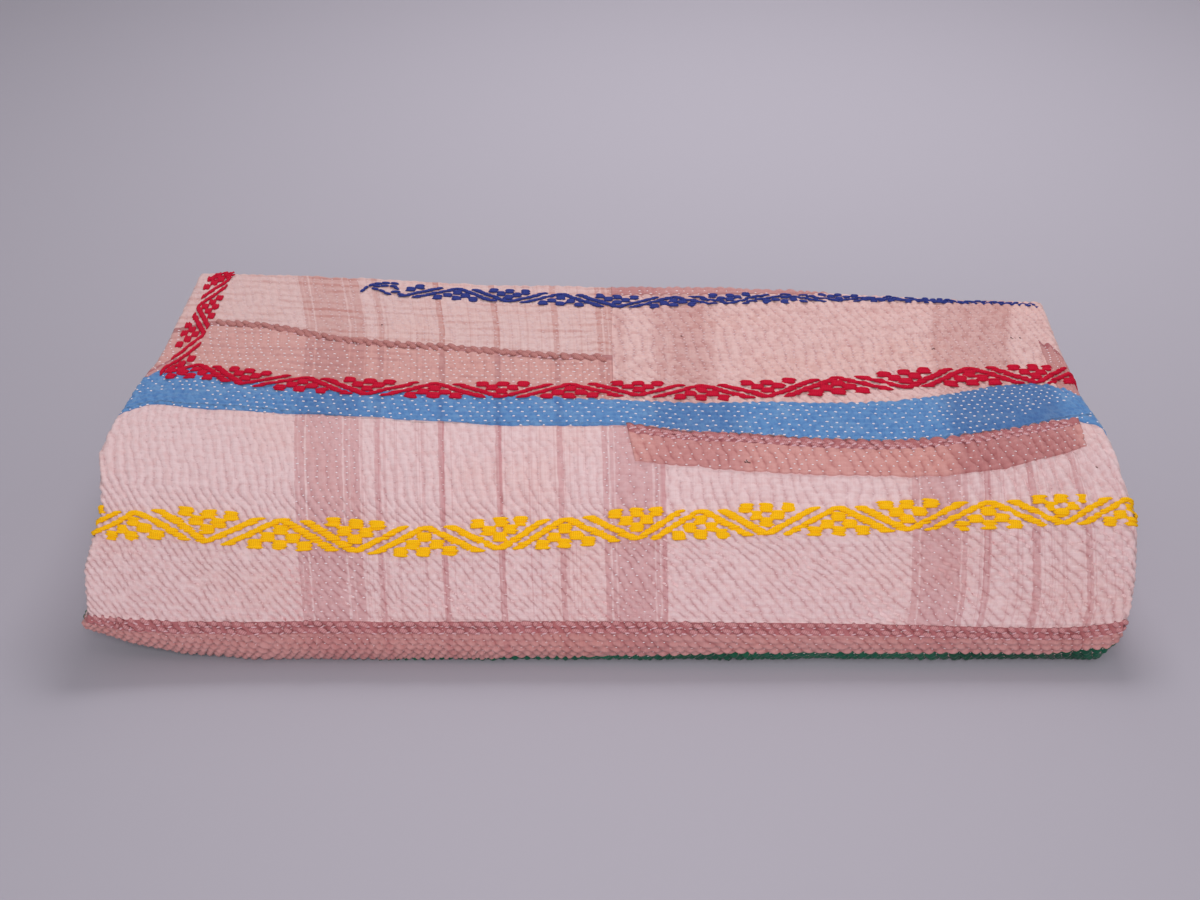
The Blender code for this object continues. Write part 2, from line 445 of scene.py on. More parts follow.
@dataclass
class Quilting:
    """The rows of running stitch that hold the layers together, and how they pucker the cloth.

    A stitch's phase is a whole number in the middle of each stitch and grows by one from stitch
    to stitch. Its row is a whole number on each row. From one row to the next the stitches drift
    sideways, so that the ridges between them lean or wander.

    Args:
        pitch: From one stitch to the next above the first line. The pitches are those below it.
        spacing: From one row to the next.
        upper: A line that the rows follow: the edge of the blue strip, and then of the patch.
        lower: Another one: the bottom border.
        counts: Rows from the back edge to the first line, and from there to the second.
        drifts: Where along the cloth a drift starts, its stitches a row, and how it wanders.
        height: A ridge's height. Its roundness is a power, and a share of it is sunk.
        pinch: Share of a ridge that a row takes off, in a groove that its power makes narrow.
        pinched: How deep that groove is, for distances along.
        pit: Depth of a stitch's pit, as a share of the height, and its size both ways.
        strength: Mean strength of the puckers.
        worked: How strong they are, for distances along. In the swells they are more so.
        creases: Small creases between the stitches.
        creased: How strong those are, for distances along.
    """

    pitch: float = 0.0063
    pitches: Points = (
        (-0.30, 0.0050), (-0.20, 0.0052), (-0.09, 0.0059), (0.05, 0.0067), (0.30, 0.0069),
    )
    spacing: float = 0.0036
    upper: Points = (
        (-0.293, 0.1560), (-0.275, 0.1480), (-0.241, 0.1473), (-0.181, 0.1510), (-0.095, 0.1553),
        (-0.038, 0.1546), (0.002, 0.1552), (0.038, 0.1615), (0.070, 0.1629), (0.102, 0.1650),
        (0.134, 0.1658), (0.166, 0.1646), (0.200, 0.1592), (0.236, 0.1516), (0.276, 0.1427),
        (0.299, 0.1400),
    )
    lower: Points = (
        (-0.293, 0.2827), (-0.259, 0.2753), (-0.168, 0.2741), (-0.006, 0.2767), (0.211, 0.2787),
        (0.299, 0.2789),
    )
    counts: tuple[int, int] = (43, 33)
    before: int = 3
    rows: int = 150
    drifts: tuple[Three, ...] = (
        (0.000, 0.24, 0.16),
        (0.110, 0.45, 0.10),
        (0.165, 0.22, 0.26),
        (0.215, 0.67, 0.10),
        (0.330, 0.67, 0.10),
    )
    surge: float = 0.045
    counted_over: Pair = (-0.42, 0.34)
    row_grains: Grains = (Grain(0.0006, 0.09, 0.02, 3), Grain(0.0004, 0.02, 0.01, 4))
    phase_grains: Grains = (
        Grain(0.55, 0.10, 0.05, 5),
        Grain(0.40, 0.022, 0.016, 6),
        Grain(0.19, 0.008, 0.0052, 7),
    )
    height: float = 0.00205
    roundness: float = 0.85
    sunk: float = 0.58
    pinch: float = 0.62
    pinch_power: float = 1.2
    pinched: Points = ((0.155, 1.0), (0.170, 0.3), (0.200, 0.3), (0.235, 1.0))
    pit: float = 0.25
    pit_size: Pair = (0.25, 0.3)
    strength: float = 0.90
    strength_grains: Grains = (Grain(0.35, 0.035, 0.03, 8), Grain(0.30, 0.009, 0.006, 9))
    worked: Points = (
        (0.0, 0.30), (0.11, 0.30), (0.15, 0.46), (0.19, 0.58), (0.23, 1.1), (0.306, 1.2),
        (0.32, 0.2),
    )
    swells: tuple[Swell, ...] = (
        Swell(0.70, across=(Ramp(0.14, 0.08),), along=(Ramp(0.14, 0.03), Ramp(0.24, -0.03))),
        Swell(0.48, across=(Ramp(-0.02, 0.06),), along=(Ramp(0.125, -0.02),)),
    )
    creases: Grains = (
        Grain(0.00030, 0.021, 0.017, 12),
        Grain(0.00018, 0.0042, 0.0034, 13),
        Grain(0.00024, 0.0075, 0.0060, 14),
    )
    creased: Points = ((0.0, 1.5), (0.11, 1.5), (0.16, 1.0))
    seed: int = 11
    shifts: Array = field(init=False)
    counted: Array = field(init=False)

    def __post_init__(self) -> None:
        """Adds up the drift of the rows, and the stitches from the middle to places across."""
        rng = np.random.default_rng(self.seed)
        starts, means, wander = np.array(self.drifts).T
        at = np.searchsorted(starts, np.arange(self.rows) * self.spacing, side="right") - 1
        loose = rng.standard_normal(self.rows + 4)
        swing = np.convolve(loose, np.ones(3) / 3, "same")[2:-2]
        self.shifts = np.concatenate([[0], np.cumsum(means[at] + wander[at] * swing)])
        places = np.linspace(*self.counted_over, 153)
        counted = np.cumsum((places[1] - places[0]) / smooth_line(self.pitches, places))
        self.counted = np.stack([places, counted - np.interp(0.0, places, counted)])

    def row(self, across: Array, along: Array) -> Array:
        """The row coordinate: the distance along, made a little uneven, in row spacings."""
        upper, lower = smooth_line(self.upper, across), smooth_line(self.lower, across)
        first, second = self.counts
        row = first * np.minimum(along / upper, 1)
        row = row + second * np.clip((along - upper) / (lower - upper), 0, 1)
        beyond = np.maximum(along - lower, 0) + uneven(self.row_grains, across, along)
        return row + beyond / self.spacing + self.before

    def phase(self, across: Array, along: Array) -> Array:
        """The stitch phase: the distance across in stitches, less the drift of the row.

        Above the first line all stitches are as long as each other. Below it the drift is a
        distance, and the stitches grow to the right.

        Args:
            across: Distance across.
            along: Distance along.

        Returns:
            The phase, made a little uneven.
        """
        row = np.clip(self.row(across, along), 0, self.rows - 1)
        whole = np.floor(row).astype(int)
        share = row - whole + self.surge * np.sin(2 * math.pi * row)
        drift = self.shifts[whole] + (self.shifts[whole + 1] - self.shifts[whole]) * share
        line = self.counts[0] + self.before
        moved = across - (drift - self.shifts[line]) * self.pitches[0][1]
        above = across / self.pitch - drift
        phase = np.where(row > line - 0.5, np.interp(moved, *self.counted), above)
        return phase + uneven(self.phase_grains, across, along)

    def pucker(self, across: Array, along: Array) -> Array:
        """Height of the puckered cloth over the smooth face.

        Between the stitches are ridges, each a power of the sine of the phase. Each row takes a
        share of it off, and each stitch a pit.

        Args:
            across: Distance across.
            along: Distance along.

        Returns:
            The height, about -0.6 to 0.4 of the ridges' height.
        """
        phase, row = self.phase(across, along), self.row(across, along)
        ridge = np.abs(np.sin(math.pi * phase)) ** self.roundness
        groove = (0.5 + 0.5 * np.cos(2 * math.pi * row)) ** self.pinch_power
        groove = groove * straight_line(self.pinched, along)
        pit_across = (phase - np.round(phase)) / self.pit_size[0]
        pit_along = (row - np.round(row)) / self.pit_size[1]
        pit = np.exp(-(pit_across**2) - pit_along**2)
        worked = straight_line(self.worked, along)
        worked = sum((swell.at(across, along) for swell in self.swells), worked)
        strength = uneven(self.strength_grains, across, along, self.strength) * worked
        creased = uneven(self.creases, across, along) * straight_line(self.creased, along)
        relief = ridge - self.sunk - self.pinch * groove * ridge - self.pit * pit
        return self.height * strength * relief + creased

    def stitch_places(self, over: Pair, span: Pair) -> tuple[Array, Array]:
        """Where the stitches lie: the places with a whole phase on a whole row.

        Each is found from an even guess by a few steps that take away what is left of the phase
        and the row. There are more guesses than stitches, and one is kept for each stitch.

        Args:
            over: The least and the most distance across.
            span: The least and the most distance along.

        Returns:
            Distances across and along.
        """
        guesses, slack, steps, caution, apart = 2.5, 1.02, 6, 0.8, 1000
        left, right = over
        first, last = math.ceil(span[0] / self.spacing), math.floor(span[1] / self.spacing)
        count = round(guesses * (right - left) / self.pitch)
        rows = np.arange(first, last) + self.before
        row, index = np.meshgrid(rows, np.arange(count), indexing="ij")
        along = (row - self.before) * self.spacing * slack
        across = left + (index + 0.5) * (right - left) / count
        target = np.round(self.phase(across, along))
        _, one = np.unique(row * apart + target, return_index=True)
        row, target, across, along = (value.ravel()[one] for value in (row, target, across, along))
        for _ in range(steps):
            along = along + (row - self.row(across, along)) * self.spacing
            across = across + (target - self.phase(across, along)) * self.pitch * caution
        keep = (across > left) & (across < right)
        return across[keep], along[keep]


# ---- meshes
def grid_faces(rows: int, columns: int) -> Array:
    """Quads of a grid whose points run along its columns first."""
    first = (np.arange(rows - 1)[:, None] * columns + np.arange(columns - 1)).ravel()
    return np.stack([first, first + 1, first + columns + 1, first + columns], -1)


def mesh_object(name: str, points: Array, faces: Array) -> bpy.types.Object:
    """A smooth mesh object at the origin.

    Args:
        name: The piece's name.
        points: Its points, in metres.
        faces: Its faces, as rows of point numbers, all of the same length.

    Returns:
        The object, linked to the scene.
    """
    mesh = bpy.data.meshes.new(name)
    points, faces = points.reshape(-1, 3), np.asarray(faces, np.int32)
    starts = np.arange(len(faces), dtype=np.int32) * faces.shape[1]
    mesh.vertices.add(len(points))
    mesh.vertices.foreach_set("co", points.astype(np.float32).ravel())
    mesh.loops.add(faces.size)
    mesh.loops.foreach_set("vertex_index", faces.ravel())
    mesh.polygons.add(len(faces))
    mesh.polygons.foreach_set("loop_start", starts)
    mesh.polygons.foreach_set("use_smooth", np.ones(len(faces), bool))
    mesh.update(calc_edges=True)
    obj = bpy.data.objects.new(name, mesh)
    bpy.context.scene.collection.objects.link(obj)
    return obj


def add_map(obj: bpy.types.Object, name: str, u: Array, v: Array) -> None:
    """Gives a mesh a UV map from two values for each of its points."""
    mesh = obj.data
    corner = np.empty(len(mesh.loops), np.int32)
    mesh.loops.foreach_get("vertex_index", corner)
    layer = mesh.uv_layers.new(name=name)
    pairs = np.stack([u.ravel()[corner], v.ravel()[corner]], -1)
    layer.data.foreach_set("uv", pairs.astype(np.float32).ravel())


def add_values(obj: bpy.types.Object, name: str, values: Array) -> None:
    """Gives each point of a mesh a number, for its material to read."""
    attribute = obj.data.attributes.new(name, "FLOAT", "POINT")
    attribute.data.foreach_set("value", values.astype(np.float32).ravel())


def dress(
    obj: bpy.types.Object, material: bpy.types.Material, flat: Pair | None = None
) -> None:
    """Gives a finished piece its material and says where it belongs.

    Args:
        obj: The piece.
        material: Its material.
        flat: A sheet's width and length when it lies flat. It is not used.
    """
    obj.data.materials.append(material)
    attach(obj, "root")
    log.info("%s: %d faces", obj.name, len(obj.data.polygons))


# ---- shader maths
@dataclass(frozen=True)
class Sock:
    """An output socket on which Python's operators add Math nodes."""

    tree: "Tree"
    socket: bpy.types.NodeSocket

    def __add__(self, other: "Sock | float") -> "Sock":
        """Sum."""
        return self.tree.math("ADD", self, other)

    def __sub__(self, other: "Sock | float") -> "Sock":
        """Difference."""
        return self.tree.math("SUBTRACT", self, other)

    def __rsub__(self, other: float) -> "Sock":
        """Difference from a number."""
        return self.tree.math("SUBTRACT", other, self)

    def __mul__(self, other: "Sock | float") -> "Sock":
        """Product."""
        return self.tree.math("MULTIPLY", self, other)

    def __pow__(self, other: float) -> "Sock":
        """Power."""
        return self.tree.math("POWER", self, other)

    __radd__ = __add__
    __rmul__ = __mul__

    def sine(self) -> "Sock":
        """Sine."""
        return self.tree.math("SINE", self)

    def cosine(self) -> "Sock":
        """Cosine."""
        return self.tree.math("COSINE", self)

    def size(self) -> "Sock":
        """Absolute value."""
        return self.tree.math("ABSOLUTE", self)

    def limited(self) -> "Sock":
        """The value, kept between 0 and 1."""
        return self.tree.math("MINIMUM", self.tree.math("MAXIMUM", self, 0.0), 1.0)

    def near(self, place: float, reach: float) -> "Sock":
        """1 within reach of a place, and 0 elsewhere."""
        return self.tree.math("COMPARE", self, place, reach)

    def rising(self, low: float, high: float) -> "Sock":
        """0 below low and 1 above high, with a smooth rise between. High may be the lower one."""
        sockets = {"Value": self, "From Min": low, "From Max": high}
        smooth = {"interpolation_type": "SMOOTHSTEP"}
        node = self.tree.node("ShaderNodeMapRange", smooth, sockets)
        return Sock(self.tree, node.outputs["Result"])


def paint(red: int, green: int, blue: int) -> Colour:
    """A colour from its screen values 0..255, as the linear values that shaders take."""
    values = np.array([red, green, blue]) / 255
    linear = np.where(values > 0.04045, ((values + 0.055) / 1.055) ** 2.4, values / 12.92)
    return tuple(float(value) for value in linear)


class Tree:
    """A material's node tree, with a Principled shader."""

    specular = 0.25
    sheen_roughness = 0.5

    def __init__(self, name: str, roughness: float, sheen: float = 0.0) -> None:
        """Makes the material.

        Args:
            name: The material's name.
            roughness: Its roughness.
            sheen: How much of the soft glow of cloth fibres it has.
        """
        self.material = bpy.data.materials.new(name)
        self.material.use_nodes = True
        self.nodes = self.material.node_tree.nodes
        self.links = self.material.node_tree.links
        self.shader = self.nodes["Principled BSDF"]
        self.shader.inputs["Roughness"].default_value = roughness
        self.shader.inputs["Specular IOR Level"].default_value = self.specular
        self.shader.inputs["Sheen Weight"].default_value = sheen
        self.shader.inputs["Sheen Roughness"].default_value = self.sheen_roughness

    def node(
        self, kind: str, settings: dict[str, object], sockets: dict[str | int, object]
    ) -> bpy.types.Node:
        """Adds a node.

        Args:
            kind: Its type.
            settings: Its properties, set first.
            sockets: What its inputs get: a Sock is linked, and anything else is a value.

        Returns:
            The node.
        """
        node = self.nodes.new(kind)
        for name, value in settings.items():
            setattr(node, name, value)
        for name, value in sockets.items():
            if isinstance(value, Sock):
                self.links.new(value.socket, node.inputs[name])
            else:
                node.inputs[name].default_value = value
        return node

    def math(self, operation: str, *values: "Sock | float") -> Sock:
        """A Math node on up to three values."""
        node = self.node("ShaderNodeMath", {"operation": operation}, dict(enumerate(values)))
        return Sock(self, node.outputs[0])

    def mix(
        self, low: "Sock | Colour", high: "Sock | Colour", share: "Sock | float", blend: str = "MIX"
    ) -> Sock:
        """Mixes two colours. A Mix node has them at its inputs 6 and 7, and its output 2.

        Args:
            low: The colour where the share is 0.
            high: The colour where it is 1.
            share: How much of the second there is.
            blend: How they are blended.

        Returns:
            The mixed colour.
        """
        low, high = (value if isinstance(value, Sock) else (*value, 1.0) for value in (low, high))
        settings = {"data_type": "RGBA", "blend_type": blend}
        node = self.node("ShaderNodeMix", settings, {0: share, 6: low, 7: high})
        return Sock(self, node.outputs[2])

    def map(self, name: str) -> tuple[Sock, Sock]:
        """The two coordinates of one of the piece's UV maps."""
        uv = self.node("ShaderNodeUVMap", {"uv_map": name}, {})
        parts = self.node("ShaderNodeSeparateXYZ", {}, {0: Sock(self, uv.outputs[0])})
        return Sock(self, parts.outputs[0]), Sock(self, parts.outputs[1])

    def values(self, name: str) -> Sock:
        """One of the piece's own numbers."""
        node = self.node("ShaderNodeAttribute", {"attribute_name": name}, {})
        return Sock(self, node.outputs["Fac"])

    def noise(self, x: Sock, y: Sock, detail: float = 2.0) -> Sock:
        """Uneven values around 0.5, one hill or hollow to a unit."""
        place = self.node("ShaderNodeCombineXYZ", {}, {0: x, 1: y})
        sockets = {"Vector": Sock(self, place.outputs[0]), "Scale": 1.0, "Detail": detail}
        node = self.node("ShaderNodeTexNoise", {"noise_dimensions": "2D"}, sockets)
        return Sock(self, node.outputs["Fac"])

    def finish(self, colour: "Sock | Colour", height: Sock | None = None) -> bpy.types.Material:
        """Gives the shader its colour and its fine relief.

        Args:
            colour: The colour.
            height: Height of the relief, in metres.

        Returns:
            The material.
        """
        if isinstance(colour, Sock):
            self.links.new(colour.socket, self.shader.inputs["Base Color"])
        else:
            self.shader.inputs["Base Color"].default_value = (*colour, 1.0)
        if height is not None:
            sockets = {"Height": height, "Distance": 1.0, "Strength": 1.0}
            bump = self.node("ShaderNodeBump", {}, sockets)
            self.links.new(bump.outputs[0], self.shader.inputs["Normal"])
        return self.material


# ---- finishes
class Weave(Enum):
    """How a cotton is patterned besides its warp stripes."""

    STRIPED = "striped"
    BORDERED = "bordered"
    PLAIN = "plain"


@dataclass(frozen=True)
class Stripe:
    """A warp stripe: its middle across the cloth, its width, and its strength."""

    at: float
    width: float
    strength: float

    def mask(self, place: Sock, blur: float) -> Sock:
        """Its strength where it lies, and 0 elsewhere, with a soft edge."""
        edge = self.width / 2
        return (place - self.at).size().rising(edge + blur, edge - blur) * self.strength


def stripes(*rows: Three) -> tuple[Stripe, ...]:
    """Stripes from rows of their middle, width and strength. A thin one below 0 is a pale line."""
    return tuple(Stripe(*row) for row in rows)


MAIN_STRIPES = stripes(
    (-0.1658, 0.0368, 0.52), (-0.1779, 0.0010, -0.55), (-0.1565, 0.0012, -0.45),
    (-0.1530, 0.0009, -0.25), (-0.1820, 0.0009, -0.22), (-0.1371, 0.0034, 0.50),
    (-0.1008, 0.0034, 0.62), (-0.0683, 0.0034, 0.55), (-0.0335, 0.0034, 0.55),
    (0.0079, 0.0352, 0.52), (-0.0060, 0.0011, -0.50), (-0.0030, 0.0009, -0.35),
    (0.0190, 0.0010, -0.40), (0.0220, 0.0008, -0.35), (0.0245, 0.0028, 0.22),
    (0.1802, 0.0314, 0.50), (0.1690, 0.0010, -0.40), (0.1925, 0.0010, -0.40),
    (0.2068, 0.0034, 0.50), (0.2305, 0.0038, 0.55), (0.2575, 0.0036, 0.50),
)
TOP_STRIPES = stripes(
    (0.0035, 0.0034, 0.40), (0.0400, 0.0345, 0.44), (0.0300, 0.0012, -0.35),
    (0.0540, 0.0010, -0.35), (0.2145, 0.0520, 0.42), (0.1960, 0.0010, -0.30),
)
# The last, wide band darkens the right end: partly the cloth's own colour and partly painted shade,
# where the strip turns away from the light.
PATCH_STRIPES_AND_SHADE = (
    MAIN_STRIPES[0],
    *MAIN_STRIPES[5:9],
    *stripes((0.0440, 0.0500, 0.55), (0.2280, 0.0760, 0.84)),
)
FIELDS = stripes((-0.0790, 0.1370, 1.0), (0.2420, 0.0900, 1.0))


@dataclass(frozen=True)
class Flecks:
    """Soft flecks on a finish: how many to the metre both ways, and how ragged they are.

    There is none where the unevenness is low, and a full one where it is high. The shift moves
    their pattern, in flecks.
    """

    across: float
    along: float
    low: float
    high: float
    detail: float = 2.0
    shift: float = 0.0

    def on(self, across: Sock, along: Sock) -> Sock:
        """1 in a fleck and 0 between them."""
        place = across * self.across
        if self.shift:
            place = place + self.shift
        flecks = across.tree.noise(place, along * self.along, self.detail)
        return flecks.rising(self.low, self.high)


@dataclass(frozen=True)
class Yarn:
    """Thick and thin yarn both ways: how many to the metre, and how many lengths of each."""

    count: float
    lengths: float

    def on(self, across: Sock, along: Sock) -> Sock:
        """The sum of the streaks along the warp and the weft, around 1."""
        warp = across.tree.noise(across * self.count, along * self.lengths)
        return warp + across.tree.noise(across * self.lengths, along * self.count)


@dataclass(frozen=True)
class Tint:
    """A colour that another is multiplied by, and how strongly."""

    colour: Colour
    strength: float

    def over(self, colour: Sock, where: Sock) -> Sock:
        """The other colour, tinted where a value is 1."""
        return colour.tree.mix(colour, self.colour, where * self.strength, "MULTIPLY")


@dataclass(frozen=True)
class Cotton:
    """A soft worn cotton with warp stripes, thin places in its threads, and fine relief.

    Args:
        ground: Its pale colour.
        stripe: The colour of its stripes.
        stripes: Its warp stripes.
        weave: What else patterns it.
        line: For a bordered cotton, the colour of its dark line, with its width.
        border: For a bordered cotton, the colour beyond the line, with the stripes through it.
        checks: How much its weft lines show.
        worked: How deep its quilting looks on the top, as a share of the front's, in painted shade
            and in bump.
        jog: How unevenly a stripe's edge runs from thread to thread, and blur, how soft it is.
    """

    name: str
    ground: Colour
    stripe: Colour
    stripes: tuple[Stripe, ...] = MAIN_STRIPES
    weave: Weave = Weave.STRIPED
    line: Colour = (0.0, 0.0, 0.0)
    border: Colour = (0.0, 0.0, 0.0)
    line_width: float = 0.0
    checks: float = 0.0
    through: float = 0.60
    worked: float = 0.28
    jog: float = 0.0013
    blur: float = 0.0003

    # Common to all the cottons.
    roughness = 0.92
    sheen = 0.15
    threads = Yarn(1400, 45)
    thin = Tint((0.62, 0.42, 0.42), 0.16)
    worn_places = Flecks(14, 18, 0.45, 0.75, detail=3.0)
    worn = Tint((1.0, 0.90, 0.84), 0.35)
    slub_places = Flecks(260, 300, 0.42, 0.68)
    slubs = Tint((0.93, 0.82, 0.81), 0.55)
    # The groove tint is painted shade: it darkens the colour where the quilting sinks, in patches
    # where the groove flecks fall.
    groove = Tint((0.70, 0.51, 0.53), 0.86)
    groove_places = Flecks(110, 170, 0.22, 0.60, detail=1.0)
    row_groove = 0.22
    thread_height = 0.00010
    groove_depth = 0.00036
    fields_share = 0.30
    dark_threads = Flecks(650, 3, 0.56, 0.72, detail=1.0)
    pale_threads = Flecks(430, 3, 0.60, 0.74, detail=1.0, shift=7.0)
    cloudy = Flecks(150, 130, 0.46, 0.70)
    weft_pitch = 0.0078
    weft_bend = 0.0040
    weft_places = Flecks(30, 60, 0.25, 0.75)

    def pattern(self, across: Sock, along: Sock) -> Sock:
        """How much of the stripes' colour the cotton has.

        The stripes are a sum of bands over the cloth's own coordinate, jogged from thread to
        thread. Between them some threads are darker or paler than the rest, or a plain cotton is
        cloudy. Checks are a sine along the cloth.

        Args:
            across: The cloth's coordinate across.
            along: Its coordinate along.

        Returns:
            The share, from 0 to 1.
        """
        noise = across.tree.noise
        place = across + (noise(across * 900, along * 120, 1.0) - 0.5) * self.jog
        mask = 0.0
        for stripe in self.stripes:
            mask = mask + stripe.mask(place, self.blur)
        if self.weave is Weave.PLAIN:
            mask = mask + self.cloudy.on(across, along) * self.fields_share
        else:
            dark = self.dark_threads.on(across, along)
            pale = self.pale_threads.on(across, along)
            share = dark * self.fields_share - pale * self.fields_share
            for area in FIELDS:
                mask = mask + across.near(area.at, area.width / 2) * share
        if self.checks:
            bent = along + (noise(across * 45, along * 40, 1.0) - 0.5) * self.weft_bend
            weft = (bent * (2 * math.pi / self.weft_pitch)).sine().rising(-0.4, 1.3)
            mask = mask + weft * (self.checks * self.weft_places.on(across, along))
        return mask.limited()

    def bordered(self, colour: Sock, pattern: Sock) -> Sock:
        """The colour, with the dark line over it and the border beyond that."""
        tree, edge = colour.tree, 0.0002
        beyond = tree.values("line")
        border = tree.mix(self.border, self.line, pattern * self.through)
        colour = tree.mix(colour, border, beyond.rising(-edge, edge))
        return tree.mix(colour, self.line, beyond.near(0.0, self.line_width / 2))

    def groove_depth_and_painted_shade(self, across: Sock, along: Sock) -> Sock:
        """How deep in the quilting a place is: at the stitches' phase, and a little on the rows. It
        sinks the bump and sets the painted shade there.
        """
        tree = across.tree
        phase, row = tree.map("stitch")
        worked = along.rising(0.16, 0.24) * (1.0 - self.worked) + self.worked
        on_row = ((row * (2 * math.pi)).cosine() * 0.5 + 0.5) ** 2.0
        dip = (1.0 - (phase * math.pi).sine().size()) ** 2.0
        deep = worked * self.groove_places.on(across, along)
        return (dip + on_row * self.row_groove).limited() * deep

    def material(self) -> bpy.types.Material:
        """Builds the material: the pattern, tinted by thin yarn, wear and slubs, with painted shade
        where the quilting sinks.
        """
        tree = Tree(self.name, self.roughness, self.sheen)
        across, along = tree.map("cloth")
        pattern = self.pattern(across, along)
        colour = tree.mix(self.ground, self.stripe, pattern)
        if self.weave is Weave.BORDERED:
            colour = self.bordered(colour, pattern)
        yarn, slubs = self.threads.on(across, along), self.slub_places.on(across, along)
        groove_depth_and_painted_shade = self.groove_depth_and_painted_shade(across, along)
        colour = self.thin.over(colour, (yarn - 0.85).rising(0.0, 0.5))
        colour = self.worn.over(colour, self.worn_places.on(across, along))
        colour = self.slubs.over(colour, slubs)
        # Painted shade where the quilting sinks.
        colour = self.groove.over(colour, groove_depth_and_painted_shade)
        relief = yarn * self.thread_height + slubs * self.thread_height
        return tree.finish(colour, relief - groove_depth_and_painted_shade * self.groove_depth)


@dataclass(frozen=True)
class Dyed:
    """A thin dyed cotton, with a darker shade over the stripes that show through it. Over the wide
    band at its right end that shade is partly painted shade, and the dips at the stitches have
    painted shade too.
    """

    name: str
    colour: Colour
    shade: Colour

    # Common to the dyed cottons.
    roughness = 0.9
    sheen = 0.2
    jog = 0.002
    blur = 0.008
    threads = Yarn(1200, 60)
    thin = Tint((0.45, 0.60, 0.82), 0.30)
    slub_places = Flecks(330, 360, 0.40, 0.66)
    slubs = Tint((0.55, 0.66, 0.82), 0.55)
    faded_places = Flecks(60, 80, 0.5, 0.7)
    faded = Tint((1.50, 1.22, 1.06), 0.55)
    # The groove tint is painted shade in the dips at the stitches.
    groove = Tint((0.55, 0.65, 0.80), 0.30)
    thread_height = 0.00006
    groove_depth = 0.00015

    def material(self) -> bpy.types.Material:
        """Builds the material: darker over the stripes, with streaky yarn, faded places and painted
        shade in the dips at the stitches.
        """
        tree = Tree(self.name, self.roughness, self.sheen)
        across, along = tree.map("cloth")
        phase, _ = tree.map("stitch")
        place = across + (tree.noise(across * 400, along * 60, 1.0) - 0.5) * self.jog
        mask = 0.0
        for stripe in PATCH_STRIPES_AND_SHADE:
            mask = mask + stripe.mask(place, min(self.blur, stripe.width / 2))
        yarn = self.threads.on(across, along)
        # The dip sinks the bump and places the painted shade at the stitches.
        dip = (1.0 - (phase * math.pi).sine().size()) ** 3
        colour = tree.mix(self.colour, self.shade, mask.limited())
        colour = self.thin.over(colour, (yarn - 0.9).rising(0.0, 0.5))
        colour = self.slubs.over(colour, self.slub_places.on(across, along))
        colour = self.faded.over(colour, self.faded_places.on(across, along))
        colour = self.groove.over(colour, dip)
        return tree.finish(colour, yarn * self.thread_height - dip * self.groove_depth)


@dataclass(frozen=True)
class Thread:
    """Cotton thread, twisted from plies, with a darker painted shade in the furrows between them
    and along its sides, where it curves down to the cloth.
    """

    name: str
    colour: Colour
    # The shade is painted shade: the colour in the furrows between the plies and along the thread's
    # sides.
    shade: Colour

    # Common to all the threads.
    roughness = 0.85
    twist_pitch = 0.0011
    twist_turns = 2.0
    twist_height = 0.00005
    fuzz_height = 0.00004

    def material(self) -> bpy.types.Material:
        """Builds the material: slanting furrows, by the sine of the length plus the girth, with
        painted shade in the furrows and along the thread's sides.
        """
        tree = Tree(self.name, self.roughness)
        length, girth = tree.map("thread")
        turns = length * (2 * math.pi / self.twist_pitch) + girth * self.twist_turns
        twist = turns.sine() * 0.5 + 0.5
        fuzz = tree.noise(length * 2500, girth * 6)
        # Painted shade: darker along the thread's sides, where it curves down to the cloth, and in
        # the furrows between its plies, with random fuzz.
        painted_side_shade = (1.0 - girth.sine()) ** 2
        dip = (1.0 - twist) * 0.40 + (fuzz - 0.5) * 0.4 + painted_side_shade * 0.9
        colour = tree.mix(self.colour, self.shade, dip.limited())
        return tree.finish(colour, twist * self.twist_height + fuzz * self.fuzz_height)


PALE_PINK = paint(228, 198, 200)
MAUVE = paint(197, 138, 142)
BROWN_PINK = paint(198, 143, 142)
DARK_MAUVE = paint(178, 110, 114)
FRONT_COTTON = Cotton("front cotton", PALE_PINK, MAUVE, worked=0.36)
TOP_COTTON = Cotton(
    "top cotton", paint(227, 191, 188), paint(193, 137, 133), stripes=TOP_STRIPES,
    weave=Weave.PLAIN, worked=0.85, jog=0.004, blur=0.003,
)
CHECKED_COTTON = Cotton(
    "checked cotton", paint(223, 190, 188), paint(196, 140, 134), weave=Weave.BORDERED,
    line=paint(180, 122, 122), border=paint(213, 161, 156), line_width=0.0060, checks=0.55,
    through=0.85,
)
BORDER_COTTON = Cotton(
    "border cotton", PALE_PINK, MAUVE, weave=Weave.BORDERED, line=DARK_MAUVE, border=BROWN_PINK,
    line_width=0.0066,
)
PATCH_COTTON = Cotton(
    "patch cotton", PALE_PINK, MAUVE, stripes=PATCH_STRIPES_AND_SHADE, weave=Weave.BORDERED, line=DARK_MAUVE,
    border=paint(211, 154, 150), line_width=0.0066, through=0.70, worked=0.90, blur=0.0080,
)
BLUE_COTTON = Dyed("blue cotton", paint(94, 139, 190), paint(74, 112, 164))
GREEN_COTTON = Dyed("green cotton", paint(20, 86, 64), paint(14, 66, 48))
# Each thread's second colour is its painted shade.
WHITE_THREAD = Thread("white thread", paint(246, 234, 238), paint(212, 192, 198))
FADED_THREAD = Thread("faded thread", paint(229, 200, 202), paint(206, 172, 176))
BROWN_THREAD = Thread("brown thread", paint(112, 74, 70), paint(84, 52, 50))
BRAID_THREAD = Thread("braid thread", paint(204, 142, 144), paint(132, 70, 78))
ROPE_THREAD = Thread("rope thread", paint(194, 132, 128), paint(138, 84, 82))
PINK_THREAD = Thread("pink thread", paint(232, 190, 198), paint(186, 134, 142))
YELLOW_THREAD = Thread("yellow thread", paint(255, 197, 0), paint(214, 134, 0))
RED_THREAD = Thread("red thread", paint(206, 0, 50), paint(150, 0, 34))
NAVY_THREAD = Thread("navy thread", paint(52, 64, 142), paint(32, 40, 96))


